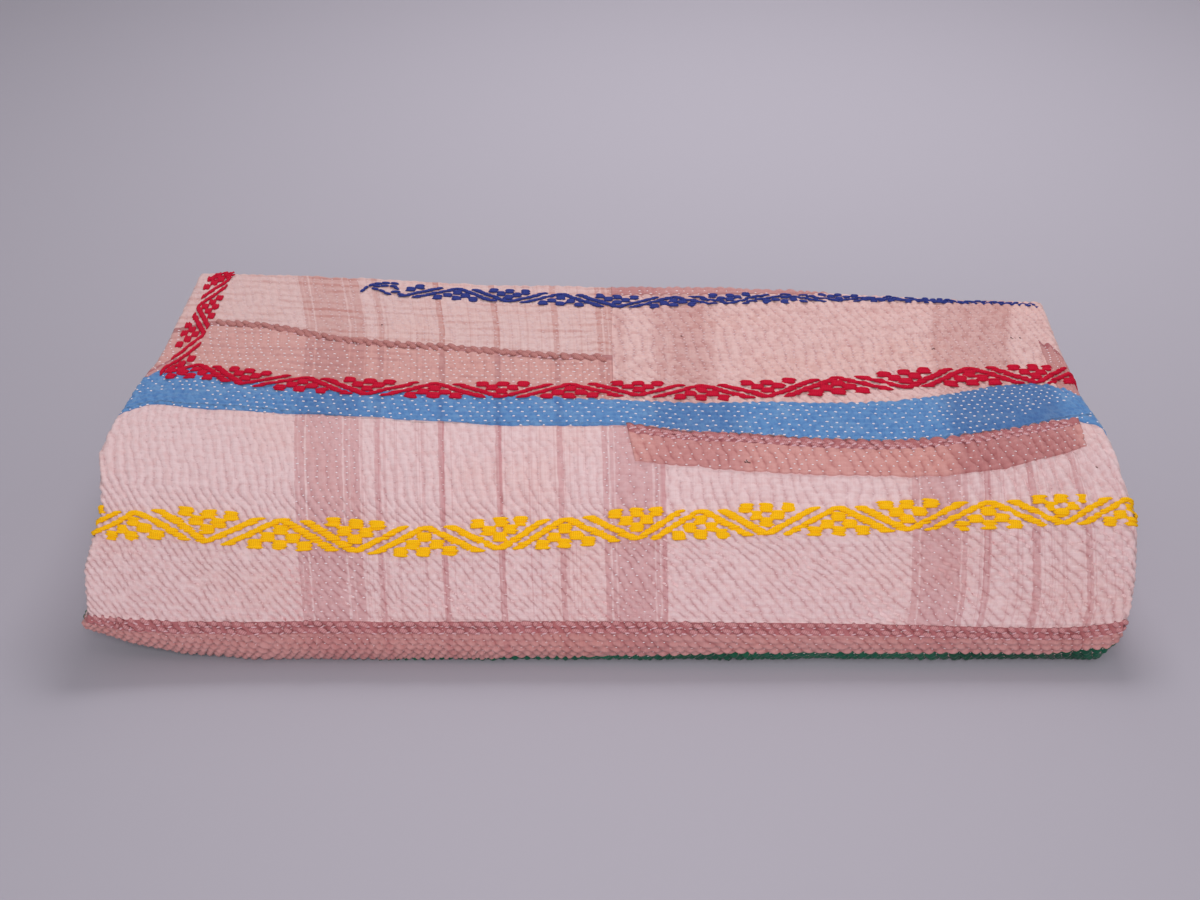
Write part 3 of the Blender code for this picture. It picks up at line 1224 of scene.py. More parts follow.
# ---- the sheet
@dataclass
class FoldedSheet:
    """The whole quilt: one thin sheet through all its folds, a little inside its outer cloth.

    Its inner and outer thickness are measured from its middle, and less is left where the outer
    cloth lies on it. Its finish shows stitches at a pitch, in rows that drift.
    """

    bundle: Bundle
    inner: float = 0.0010
    outer: float = 0.0010
    covered: float = -0.0004
    covered_to: float = 0.345
    covered_ends: float = 0.014
    ply_steps: tuple[int, int] = (64, 22)
    turn_steps: tuple[int, int] = (10, 6)
    untrue: Grains = (Grain(0.0011, 0.035, 1.0, 21), Grain(0.0006, 0.011, 1.0, 22))
    untrue_power: int = 12
    stitch: float = 0.0066
    row: float = 0.0036
    drift: float = 0.3

    def ply(self, number: int, start: float, end: float, steps: int) -> Array:
        """Columns of a ply: x, distance out from the strip's middle, and the way its face looks.

        Args:
            number: The ply, counted from the inside of the strip.
            start: Its first x.
            end: Its last x.
            steps: Its flats.

        Returns:
            Its points.
        """
        x = np.linspace(start, end, steps + 1)
        n = (number - 2.5) * self.bundle.ply_pitch
        face = 1.0 if number in (2, 4) else -1.0
        return np.stack([x, np.full_like(x, n), np.zeros_like(x), np.full_like(x, face)], -1)

    def turn(
        self, x: float, n: float, radius: float, side: int, start: int, facing: int, steps: int
    ) -> Array:
        """Half a circle from one ply to the next, in the same columns as a ply.

        Args:
            x: Its centre.
            n: Its centre, out from the strip's middle.
            radius: Its radius.
            side: 1 at the right end, -1 at the left one.
            start: 1 if it starts above its centre, -1 below.
            facing: 1 if the cloth's face is outside it, -1 inside.
            steps: Its flats.

        Returns:
            Its points, without the two that it shares with the plies.
        """
        angle = np.linspace(0, math.pi, steps + 1)[1:-1]
        sine, cosine = side * np.sin(angle), start * np.cos(angle)
        points = (x + radius * sine, n + radius * cosine, facing * sine, facing * cosine)
        return np.stack(points, -1)

    def section(self) -> Array:
        """Across the strip from one side edge to the other: plies 1, 4, 3 and 2, and the turns."""
        bundle, (long, short), (wide, narrow) = self.bundle, self.ply_steps, self.turn_steps
        pitch, right, left = bundle.ply_pitch, bundle.turn_right, bundle.turn_left
        edge = left + bundle.edge_inset
        return np.concatenate(
            [
                self.ply(1, edge, right, short),
                self.turn(right, 0, 1.5 * pitch, side=1, start=-1, facing=1, steps=wide),
                self.ply(4, right, left, long),
                self.turn(left, pitch, pitch / 2, side=-1, start=1, facing=1, steps=narrow),
                self.ply(3, left, right, short),
                self.turn(right, 0, pitch / 2, side=1, start=1, facing=-1, steps=narrow),
                self.ply(2, right, edge + bundle.edge_step, short),
            ]
        )

    def face_points(self, section: Array, every: Array, out: Array) -> Array:
        """One face of the sheet: the section carried along the path, moved out by a share.

        Args:
            section: The section's columns.
            every: Which points of the path it is carried to.
            out: How far out each point lies from the sheet's middle.

        Returns:
            Its points, in rows along the path.
        """
        bundle = self.bundle
        middle, normals = bundle.middle[every], bundle.normals[every]
        numbers, run = bundle.numbers[every][:, None], bundle.lengths[every][:, None]
        x = section[:, 0] + section[:, 2] * out
        n = section[:, 1] + section[:, 3] * out
        at_edge = np.clip(np.abs(x) / bundle.half_width, 0, 1) ** self.untrue_power
        x = x + uneven(self.untrue, run, numbers) * at_edge * (out > self.outer / 2)
        y = middle[:, :1] + n * normals[:, :1]
        z = middle[:, 1:] + n * normals[:, 1:]
        return bundle.slump(x + bundle.inset(x, numbers), y, z)

    def rim(self, rows: int, columns: int) -> Array:
        """Quads that join two grids of points all round their edge."""
        right = np.arange(1, rows) * columns + columns - 1
        top = (rows - 1) * columns + np.arange(columns - 2, -1, -1)
        left = np.arange(rows - 2, 0, -1) * columns
        loop = np.concatenate([np.arange(columns), right, top, left])
        after, other = np.roll(loop, -1), rows * columns
        return np.stack([after, loop, loop + other, after + other], -1)

    def build(self) -> bpy.types.Object:
        """Builds the sheet: its face and its back as two grids, joined round their edge."""
        bundle, section = self.bundle, self.section()
        every = np.unique(np.append(np.arange(0, len(bundle.middle), 2), len(bundle.middle) - 1))
        rows, columns = len(every), len(section)
        steps = np.linalg.norm(np.diff(section[:, :2], axis=0), axis=1)
        unfolded = np.concatenate([[0], np.cumsum(steps)])
        middle_of_top = self.ply_steps[1] + self.turn_steps[0] + self.ply_steps[0] // 2
        across = -(unfolded - unfolded[middle_of_top])
        run = bundle.lengths[every]
        on_face = (np.abs(across) < bundle.half_width + self.covered_ends) * 1.0
        over = on_face[None, :] * (run < self.covered_to)[:, None]
        out = self.outer + (self.covered - self.outer) * over
        face = self.face_points(section, every, out)
        back = self.face_points(section, every, np.full_like(out, -self.inner))
        quads = grid_faces(rows, columns)
        other = quads[:, ::-1] + rows * columns
        points = np.concatenate([face.reshape(-1, 3), back.reshape(-1, 3)])
        faces = np.concatenate([quads, other, self.rim(rows, columns)])
        obj = mesh_object("quilt_sheet", points, faces)
        u, v = (np.tile(value.ravel(), 2) for value in np.meshgrid(across, run))
        add_map(obj, "cloth", u, v)
        add_map(obj, "stitch", u / self.stitch + self.drift * v / self.row, v / self.row)
        width, length = float(np.ptp(unfolded)), float(bundle.lengths[-1])
        log.info("flat size of the quilt: %.3f by %.3f m", width, length)
        dress(obj, FRONT_COTTON.material(), flat=(round(width, 3), round(length, 3)))
        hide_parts("quilt")
        return obj


def cloth_place(across: Array, along: Array) -> Array:
    """Distance across the cloth's own warp, which leans and spreads.

    The warp leans by a skew, and spreads out backwards by a share of the distance across, as far
    as a place at the back. Past a place at the right end it spreads more.

    Args:
        across: Distance across the bundle.
        along: Distance along it.

    Returns:
        The distance across less the lean.
    """
    level, skew, spread, back, end, end_spread = 0.153, 0.05, 0.55, 0.06, 0.20, 2.2
    lean = (skew - spread * across) * (along - level)
    lean = lean + spread * across * np.maximum(back - along, 0)
    past_end = end_spread * np.maximum(across - end, 0)
    return across - (lean + past_end * np.maximum(along - level, 0))


@dataclass
class ClothPiece:
    """A piece of thin cloth on the outside of the bundle, puckered by the stitches through it.

    Args:
        finish: Its cotton.
        near: Its edge towards the back of the top: distances along, for distances across.
        far: Its edge towards the front and the surface.
        left: Where its left edge starts and ends, as distances across, and so its right one.
        lift: How far it lies out from the outer cloth.
        line: For a bordered cotton, the middle of its dark line.
        frayed: How uneven its edges are. The fray is what doesn't follow the stitches in that.
        calm: Share of the puckers that is lost round the bundle's ends, over a run.
    """

    name: str
    finish: Cotton | Dyed
    near: Points
    far: Points
    left: Pair
    right: Pair
    lift: float = 0.0
    step: Pair = (0.0012, 0.00095)
    line: Points = ()
    frayed: float = 0.0
    fray: Grain = Grain(0.6, 0.009, 0.05, 31)
    fray_power: int = 6
    thickness: float = 0.0009
    calm: float = 0.8
    calm_run: float = 0.009
    shortest: float = 0.010

    def edges(self, across: Array) -> tuple[Array, Array]:
        """Its two long edges at distances across."""
        return smooth_line(self.near, across), smooth_line(self.far, across)

    def ends(self, share: Array) -> tuple[Array, Array]:
        """Its left and right edge at a share of the way from its near edge to its far one."""
        left = self.left[0] + (self.left[1] - self.left[0]) * share
        right = self.right[0] + (self.right[1] - self.right[0]) * share
        return left, right

    def covers(self, across: Array, along: Array) -> Array:
        """Whether the piece lies at each place."""
        near, far = self.edges(across)
        left, right = self.ends(np.clip((along - near) / np.maximum(far - near, 1e-6), 0, 1))
        return (along > near) & (along < far) & (across > left) & (across < right)

    def grid(self, quilting: Quilting) -> tuple[Array, Array]:
        """Places of a grid between its edges, which the fray moves a little."""
        width = max(self.right) - min(self.left)
        near, far = self.edges(np.linspace(min(self.left), max(self.right), 50))
        columns = round(width / self.step[0]) + 1
        rows = max(3, round(float(np.max(far - near)) / self.step[1]) + 1)
        share = np.linspace(0, 1, rows)[:, None]
        left, right = self.ends(share)
        across = left + (right - left) * np.linspace(0, 1, columns)[None, :]
        near, far = self.edges(across)
        along = near + (far - near) * share
        if self.frayed:
            scallop = np.abs(np.sin(math.pi * quilting.phase(across, along))) - 0.5
            scallop = scallop + self.fray.at(across, along)
            at_edge = share**self.fray_power - (1 - share) ** self.fray_power
            along = along + self.frayed * scallop * at_edge
        return across, along

    def flat_size(self) -> Pair:
        """Its width, and its mean length between its edges."""
        near, far = self.edges(np.linspace(min(self.left), max(self.right), 50))
        length = max(float(np.mean(far - near)), self.shortest)
        return round(max(self.right) - min(self.left), 3), round(length, 3)

    def build(self, bundle: Bundle, quilting: Quilting) -> bpy.types.Object:
        """Builds the piece: a grid on the puckered face, with a rim turned down all round.

        Args:
            bundle: The shape that it lies on.
            quilting: The stitches that pucker it.

        Returns:
            The finished piece.
        """
        across, along = (np.pad(value, 1, mode="edge") for value in self.grid(quilting))
        turned = np.maximum(across - bundle.turn_right, bundle.turn_left - across)
        calm = 1 - self.calm * ease(turned / self.calm_run)
        rim = np.ones_like(across)
        rim[1:-1, 1:-1] = 0
        out = quilting.pucker(across, along) * calm + self.lift - rim * self.thickness
        points = bundle.place(across, along, out)
        obj = mesh_object(self.name, points, grid_faces(*across.shape))
        add_map(obj, "cloth", cloth_place(across, along), along)
        add_map(obj, "stitch", quilting.phase(across, along), quilting.row(across, along))
        if self.line:
            add_values(obj, "line", along - smooth_line(self.line, across))
        dress(obj, self.finish.material(), flat=self.flat_size())
        return obj


ENDS = (-0.2935, 0.2995)
JOIN = 0.1425


def upright(place: float) -> Pair:
    """Where an end that doesn't lean starts and ends, as distances across."""
    return place, place


LEFT_HEM = upright(ENDS[0] + 0.001)
RIGHT_HEM = upright(ENDS[1] - 0.001)
TOP_CLOTH = ClothPiece(
    "top_cloth", TOP_COTTON, near=((-0.30, -0.0022), (0.30, -0.0022)),
    far=((-0.30, JOIN), (0.30, JOIN)), left=upright(ENDS[0]), right=upright(ENDS[1]),
)
FRONT_CLOTH = ClothPiece(
    "front_cloth", FRONT_COTTON, near=((-0.30, JOIN - 0.001), (0.30, JOIN - 0.001)),
    far=((-0.30, 0.320), (0.30, 0.320)), left=upright(ENDS[0]), right=upright(ENDS[1]),
)
CHECKED_PATCH = ClothPiece(
    "checked_patch", CHECKED_COTTON, near=((-0.30, -0.0021), (0.0, -0.0021)),
    far=((-0.30, 0.1255), (-0.20, 0.1290), (0.0, 0.1400)), left=LEFT_HEM, right=(-0.0083, -0.0030),
    lift=0.00030,
    line=(
        (-0.300, 0.0745), (-0.284, 0.0705), (-0.2687, 0.0634), (-0.2370, 0.0624), (-0.2157, 0.0654),
        (-0.1945, 0.0706), (-0.1741, 0.0748), (-0.1480, 0.0776), (-0.1228, 0.0784),
        (-0.0729, 0.0828), (-0.0364, 0.0864), (0.0, 0.0890),
    ),
)
BLUE_STRIP = ClothPiece(
    "blue_strip", BLUE_COTTON,
    near=(
        (-0.293, 0.1250), (-0.286, 0.1222), (-0.281, 0.1150), (-0.269, 0.1125), (-0.255, 0.1150),
        (-0.220, 0.1230), (-0.109, 0.1291), (-0.010, 0.1330), (0.047, 0.1368), (0.104, 0.1351),
        (0.138, 0.1338), (0.192, 0.1235), (0.233, 0.1105), (0.257, 0.1063), (0.276, 0.1134),
        (0.288, 0.1208), (0.299, 0.1260),
    ),
    far=(
        (-0.293, 0.1560), (-0.283, 0.1520), (-0.275, 0.1478), (-0.241, 0.1482), (-0.181, 0.1498),
        (-0.125, 0.1508), (-0.095, 0.1528), (-0.038, 0.1548), (0.002, 0.1550), (0.038, 0.1625),
        (0.131, 0.1655), (0.167, 0.1645), (0.201, 0.1585), (0.239, 0.1500), (0.262, 0.1450),
        (0.277, 0.1459), (0.299, 0.1560),
    ),
    left=LEFT_HEM, right=RIGHT_HEM, lift=0.00055, frayed=0.0008,
)
BORDER_PATCH = ClothPiece(
    "border_patch", PATCH_COTTON,
    near=(
        (0.002, 0.1526), (0.038, 0.1599), (0.070, 0.1613), (0.102, 0.1635), (0.134, 0.1643),
        (0.166, 0.1631), (0.200, 0.1579), (0.236, 0.1505), (0.276, 0.1416),
    ),
    far=(
        (0.002, 0.1795), (0.038, 0.1828), (0.070, 0.1866), (0.101, 0.1879), (0.133, 0.1884),
        (0.164, 0.1880), (0.196, 0.1849), (0.230, 0.1768), (0.276, 0.1640),
    ),
    left=(0.0044, 0.0100), right=(0.2745, 0.2700), lift=0.00080,
    line=(
        (0.002, 0.1558), (0.038, 0.1631), (0.070, 0.1645), (0.102, 0.1667), (0.134, 0.1675),
        (0.166, 0.1663), (0.200, 0.1611), (0.236, 0.1537), (0.276, 0.1448),
    ),
    frayed=0.0013,
)
CORNER_PATCH = ClothPiece(
    "corner_patch", BORDER_COTTON,
    near=((0.272, 0.0520), (0.276, 0.0575), (0.282, 0.0590), (0.285, 0.0685), (0.299, 0.0900)),
    far=((0.272, 0.1120), (0.276, 0.1160), (0.288, 0.1230), (0.299, 0.1280)), left=(0.2728, 0.2735),
    right=RIGHT_HEM, lift=0.00042,
    line=((0.272, 0.0535), (0.276, 0.0588), (0.282, 0.0605), (0.285, 0.0700), (0.299, 0.0915)),
    frayed=0.0003,
)
LEFT_STRIP = ClothPiece(
    "left_strip", BORDER_COTTON,
    near=(
        (-0.293, 0.1230), (-0.2886, 0.1170), (-0.284, 0.1098), (-0.2793, 0.1030), (-0.274, 0.1045),
        (-0.262, 0.1085),
    ),
    far=((-0.293, 0.1290), (-0.262, 0.1200)), left=LEFT_HEM, right=(-0.2640, -0.2620), lift=0.00042,
    line=(
        (-0.293, 0.1236), (-0.2886, 0.1176), (-0.284, 0.1104), (-0.2793, 0.1036), (-0.274, 0.1051),
        (-0.262, 0.1091),
    ),
    frayed=0.0003,
)
END_BORDER = ClothPiece(
    "end_border", BORDER_COTTON, near=((-0.010, -0.0021), (0.180, -0.0021)),
    far=((-0.010, 0.0092), (0.060, 0.0080), (0.100, 0.0045), (0.140, 0.0005)),
    left=(-0.0085, -0.0080), right=(0.135, 0.120), lift=0.00060,
    line=((-0.010, -0.0060), (0.180, -0.0060)), frayed=0.0004,
)
BOTTOM_BORDER = ClothPiece(
    "bottom_border", BORDER_COTTON,
    near=(
        (-0.293, 0.2822), (-0.2751, 0.2795), (-0.2440, 0.2755), (-0.2122, 0.2734),
        (-0.1692, 0.2722), (-0.1152, 0.2723), (-0.0073, 0.2722), (0.0467, 0.2730), (0.1551, 0.2738),
        (0.2101, 0.2752), (0.2544, 0.2753), (0.2720, 0.2738), (0.299, 0.2700),
    ),
    far=((-0.293, 0.3080), (0.299, 0.3080)), left=LEFT_HEM, right=RIGHT_HEM, lift=0.00035,
    line=(
        (-0.293, 0.2860), (-0.2751, 0.2835), (-0.2440, 0.2790), (-0.2122, 0.2766),
        (-0.1692, 0.2754), (-0.1152, 0.2753), (-0.0073, 0.2752), (0.0467, 0.2759), (0.1551, 0.2772),
        (0.2101, 0.2784), (0.2544, 0.2784), (0.2720, 0.2769), (0.299, 0.2731),
    ),
    frayed=0.0004,
)
GREEN_STRIP = ClothPiece(
    "green_strip", GREEN_COTTON,
    near=(
        (-0.293, 0.3050), (-0.150, 0.3020), (-0.080, 0.2990), (-0.006, 0.2955), (0.048, 0.2932),
        (0.158, 0.2915), (0.271, 0.2895), (0.299, 0.2850),
    ),
    far=((-0.293, 0.3190), (0.299, 0.3190)), left=upright(ENDS[0] + 0.002),
    right=upright(ENDS[1] - 0.002), lift=0.00060, frayed=0.0004,
)
PATCHES = (
    CHECKED_PATCH, LEFT_STRIP, BLUE_STRIP, BORDER_PATCH,
    CORNER_PATCH, END_BORDER, BOTTOM_BORDER, GREEN_STRIP,
)


def cover(across: Array, along: Array) -> Array:
    """How far the topmost patch lies out from the outer cloth at each place."""
    return np.max([patch.covers(across, along) * patch.lift for patch in PATCHES], axis=0)


# ---- threads
@dataclass
class Stitches:
    """Many short threads lying on the cloth, joined into one mesh.

    Each is half an ellipse across, which swells from nothing at its ends, carried along a
    straight stretch of the cloth. Its ends dive into the cloth.

    Args:
        across: The middle of each thread, distance across.
        along: Distance along.
        half: Half its length.
        turn: The angle of its length, from across towards along.
        width: Half its width.
        height: How far it stands out, from a base.
        stations: Points along a thread, with its sides over its top.
        blunt: How blunt its ends are. They dive, and its edges are sunk, into the cloth.
    """

    across: Array
    along: Array
    half: Array
    turn: Array
    width: float | Array
    height: float | Array
    base: Array
    stations: int = 7
    sides: int = 4
    blunt: float = 3.2
    sunk: float = 0.0002
    dive: float = 0.0003

    def build(self, name: str, bundle: Bundle, finish: Thread) -> bpy.types.Object:
        """Builds the joined mesh and dresses it.

        Args:
            name: The piece's name.
            bundle: The shape that the threads lie on.
            finish: Their thread.

        Returns:
            The finished piece.
        """
        t = np.linspace(-1, 1, self.stations)[None, :, None]
        girth = np.linspace(0, math.pi, self.sides + 1)[None, None, :]
        swell = np.maximum(1 - np.abs(t) ** self.blunt, 0) ** 0.5
        count, size = len(self.across), self.stations * (self.sides + 1)
        given = (self.across, self.along, self.half, self.turn, self.base, self.width, self.height)
        columns = (np.broadcast_to(np.asarray(value, float), count) for value in given)
        across, along, half, turn, base, width, height = (value[:, None, None] for value in columns)
        side = -np.cos(girth) * width * swell
        x = across + t * half * np.cos(turn) - side * np.sin(turn)
        w = along + t * half * np.sin(turn) + side * np.cos(turn)
        out = base + (np.sin(girth) * height - self.sunk) * swell - self.dive * np.abs(t) ** 4
        points = bundle.place(x, w, out)
        one = grid_faces(self.stations, self.sides + 1)
        faces = (one[None] + (np.arange(count) * size)[:, None, None]).reshape(-1, 4)
        obj = mesh_object(name, points, faces)
        shape = points.shape[:3]
        length = np.broadcast_to(t * half + across, shape)
        add_map(obj, "thread", length, np.broadcast_to(girth, shape))
        dress(obj, finish.material())
        return obj


Threads = list[Four]


@dataclass
class Chain:
    """An embroidered chain: a zigzag of peaks and valleys, each round a stepped pyramid of blocks.

    A peak and a valley are each two slopes of slanting rows of short threads. The blocks are
    bundles of threads one stitch long, three, two and one on top of each other, pointing into
    the peak or the valley.

    Args:
        centre: Its middle line: distance along, for distances across. A leg's is the other way.
        start: Where it starts, as distances across. A leg's are distances along.
        end: Where it ends.
        beats: Places of its peaks and valleys in turn, a peak first.
        scale: Share of the full height that it has, for distances as its middle line has.
        bulk: How much of their full size its threads have.
        leg: Whether it runs along the cloth instead of across it, with its peaks to the left.
        foot: Where a peak's slopes end, in beats, and arm, where a valley's start.
        peak_rows: Levels of a peak's blocks, from one block to three, and of a valley's.
        block_pitches: How many blocks go into a beat, in a peak and in a valley.
        rises: How a slope's threads slant where it rises, and where it falls.
        halves: Half a thread's length, in a slope and in a block.
        beat: A beat's length at which threads are that long, and one past the chain's ends.
        wobble: Unevenness of the threads' place, length, slant and height.
    """

    name: str
    finish: Thread
    centre: Points
    start: float
    end: float
    beats: tuple[float, ...]
    scale: Points = ((0.0, 1.0), (1.0, 1.0))
    bulk: float = 1.0
    leg: bool = False
    seed: int = 1
    foot: float = 0.73
    arm: float = 0.69
    peak_levels: Pair = (-0.0084, 0.0073)
    valley_levels: Pair = (0.0073, -0.0080)
    peak_rows: tuple[float, ...] = (0.0013, -0.0029, -0.0069)
    valley_rows: tuple[float, ...] = (-0.0010, 0.0031, 0.0075)
    block_pitches: Pair = (6.0, 6.6)
    block_threads: tuple[int, float] = (5, 0.00094)
    pitch: float = 0.00112
    rises: Pair = (0.14, 0.04)
    halves: Pair = (0.0039, 0.0041)
    beat: Pair = (0.0385, 0.039)
    shortened: Pair = (0.55, 1.1)
    width: float = 0.00088
    height: float = 0.00125
    raised: float = 0.0005
    wobble: Four = (0.00030, 0.07, 0.05, 0.00012)

    def slope(self, low: Pair, high: Pair) -> Threads:
        """A slope of threads between two places.

        Args:
            low: Its first beat and level.
            high: Its last ones.

        Returns:
            Each thread's beat, level, half length and rise.
        """
        count = max(4, round(abs(high[1] - low[1]) / self.pitch))
        rise = self.rises[0] if high[1] > low[1] else self.rises[1]
        shares = (np.arange(count) + 0.5) / count
        beats = low[0] + (high[0] - low[0]) * shares
        levels = low[1] + (high[1] - low[1]) * shares
        return [(beat, level, self.halves[0], rise) for beat, level in zip(beats, levels)]

    def block(self, beat: float, level: float) -> Threads:
        """A block: threads one over the other."""
        count, pitch = self.block_threads
        levels = [level + (row - count // 2) * pitch for row in range(count)]
        return [(beat, level, self.halves[1], 0.0) for level in levels]

    def motif(self) -> Array:
        """The threads of one peak and the valley after it, over two beats."""
        low, top = self.peak_levels
        high, bottom = self.valley_levels
        threads = self.slope((-self.foot, low), (0.0, top))
        threads += self.slope((0.0, top), (self.foot, low))
        threads += self.slope((1 - self.arm, high), (1, bottom))
        threads += self.slope((1, bottom), (1 + self.arm, high))
        for middle, levels in enumerate((self.peak_rows, self.valley_rows)):
            for row, level in enumerate(levels):
                for k in range(row + 1):
                    beat = middle + (2 * k - row) / self.block_pitches[middle]
                    threads += self.block(beat, level)
        return np.array(threads)

    def build(self, bundle: Bundle, quilting: Quilting) -> bpy.types.Object:
        """Builds the whole chain: the motif repeated over its beats, from its start to its end.

        Args:
            bundle: The shape that it lies on.
            quilting: The stitches that pucker the cloth under it.

        Returns:
            The finished piece.
        """
        rng = np.random.default_rng(self.seed)
        motif, count = self.motif(), len(self.beats)
        pairs = 2 * np.arange(-1, count // 2 + 1)
        threads = np.tile(motif, (len(pairs), 1))
        beat = threads[:, 0] + np.repeat(pairs, len(motif))
        inside = np.clip(beat, 0, count - 1)
        full, beyond = self.beat
        place = np.interp(inside, np.arange(count), self.beats) + (beat - inside) * beyond
        spacing = np.interp(inside, np.arange(count), np.gradient(self.beats))
        size = smooth_line(self.scale, place)
        half = threads[:, 2] * np.clip(spacing / full, *self.shortened)
        keep = (place > self.start) & (place < self.end)
        given = (place, threads[:, 1] * size, half, threads[:, 3], size)
        place, level, half, rise, size = (value[keep] for value in given)
        place_wobble, half_wobble, rise_wobble, base_wobble = self.wobble
        place = place + rng.normal(0, place_wobble, len(place))
        half = half * (1 + rng.normal(0, half_wobble, len(place)))
        rise = rise + rng.normal(0, rise_wobble, len(place))
        line = smooth_line(self.centre, place)
        if self.leg:
            across, along, turn = line - level, place, math.pi / 2 + rise
        else:
            across, along, turn = place, line - level, -rise
        base = cover(across, along) + 0.5 * quilting.pucker(across, along) + self.raised
        base = base + rng.normal(0, base_wobble, len(place))
        bulk = self.bulk * np.clip(size, 0.35, 1.1) ** 0.4
        girth = (self.width * bulk, self.height * bulk)
        stitches = Stitches(across, along, half * bulk, turn, *girth, base)
        return stitches.build(self.name, bundle, self.finish)


CHAINS = (
    Chain(
        "yellow_chain", YELLOW_THREAD,
        centre=(
            (-0.293, 0.2268), (-0.270, 0.2261), (-0.2596, 0.2243), (-0.2466, 0.2224),
            (-0.218, 0.2238), (-0.180, 0.2248), (-0.171, 0.2252), (-0.116, 0.2278),
            (-0.051, 0.2242), (0.020, 0.2192), (0.074, 0.2172), (0.145, 0.2144), (0.211, 0.2102),
            (0.280, 0.2080), (0.299, 0.2080),
        ),
        start=-0.2935, end=0.2990,
        beats=(
            -0.3430, -0.3030, -0.2632, -0.2228, -0.1826, -0.1417, -0.1039, -0.0628, -0.0276, 0.0116,
            0.0463, 0.0823, 0.1218, 0.1591, 0.2040, 0.2458, 0.2870, 0.3260,
        ),
        bulk=1.08, seed=3,
    ),
    Chain(
        "red_chain", RED_THREAD,
        centre=(
            (-0.276, 0.1170), (-0.255, 0.1158), (-0.222, 0.1210), (-0.158, 0.1262),
            (-0.098, 0.1262), (-0.028, 0.1250), (0.012, 0.1238), (0.047, 0.1262), (0.088, 0.1230),
            (0.128, 0.1160), (0.169, 0.1080), (0.208, 0.1000), (0.251, 0.0975), (0.299, 0.0985),
        ),
        start=-0.2740, end=0.2925,
        beats=(
            -0.2580, -0.2235, -0.1870, -0.1473, -0.1077, -0.0682, -0.0287, 0.0110, 0.0472, 0.0860,
            0.1283, 0.1714, 0.2150, 0.2610, 0.2945, 0.3280,
        ),
        scale=(
            (-0.276, 0.85), (-0.150, 0.84), (0.047, 0.86), (0.128, 1.08), (0.170, 1.18),
            (0.215, 1.25), (0.299, 1.05),
        ),
        bulk=1.02, seed=4,
    ),
    Chain(
        "red_leg", RED_THREAD,
        centre=((-0.01, -0.2715), (0.045, -0.2727), (0.080, -0.2727), (0.130, -0.2735)),
        start=-0.0010, end=0.1195, beats=(-0.0255, 0.0085, 0.0425, 0.0757, 0.1160, 0.1500),
        scale=((0.0, 0.92), (0.13, 0.92)), leg=True, seed=5,
    ),
    Chain(
        "navy_chain", NAVY_THREAD,
        centre=(
            (-0.170, 0.0140), (-0.111, 0.0140), (-0.078, 0.0150), (-0.046, 0.0170),
            (-0.014, 0.0190), (0.018, 0.0195), (0.049, 0.0165), (0.113, 0.0094), (0.181, 0.0044),
            (0.255, 0.0030), (0.290, 0.0060),
        ),
        start=-0.1430, end=0.2150,
        beats=(
            -0.1800, -0.1430, -0.1064, -0.0730, -0.0396, -0.0040, 0.0313, 0.0670, 0.1023, 0.1380,
            0.1733, 0.2090, 0.2443, 0.2800,
        ),
        scale=(
            (-0.180, 0.86), (0.000, 0.82), (0.080, 0.66), (0.140, 0.50), (0.200, 0.36),
            (0.290, 0.30),
        ),
        bulk=0.92, seed=6,
    ),
)


@dataclass
class LooseThreads:
    """A few threads placed one by one: a chain's hooked or frayed end, or specks of lint.

    Each thread has its middle across and along, half its length, and its turn.
    """

    name: str
    finish: Thread
    threads: tuple[Four, ...]
    width: float = 0.0008
    height: float = 0.0011
    raised: float = 0.0004

    def build(self, bundle: Bundle, quilting: Quilting) -> None:
        """Builds the threads, joined."""
        across, along, half, turn = np.array(self.threads).T
        base = cover(across, along) + 0.4 * quilting.pucker(across, along) + self.raised
        stitches = Stitches(across, along, half, turn, self.width, self.height, base)
        stitches.build(self.name, bundle, self.finish)


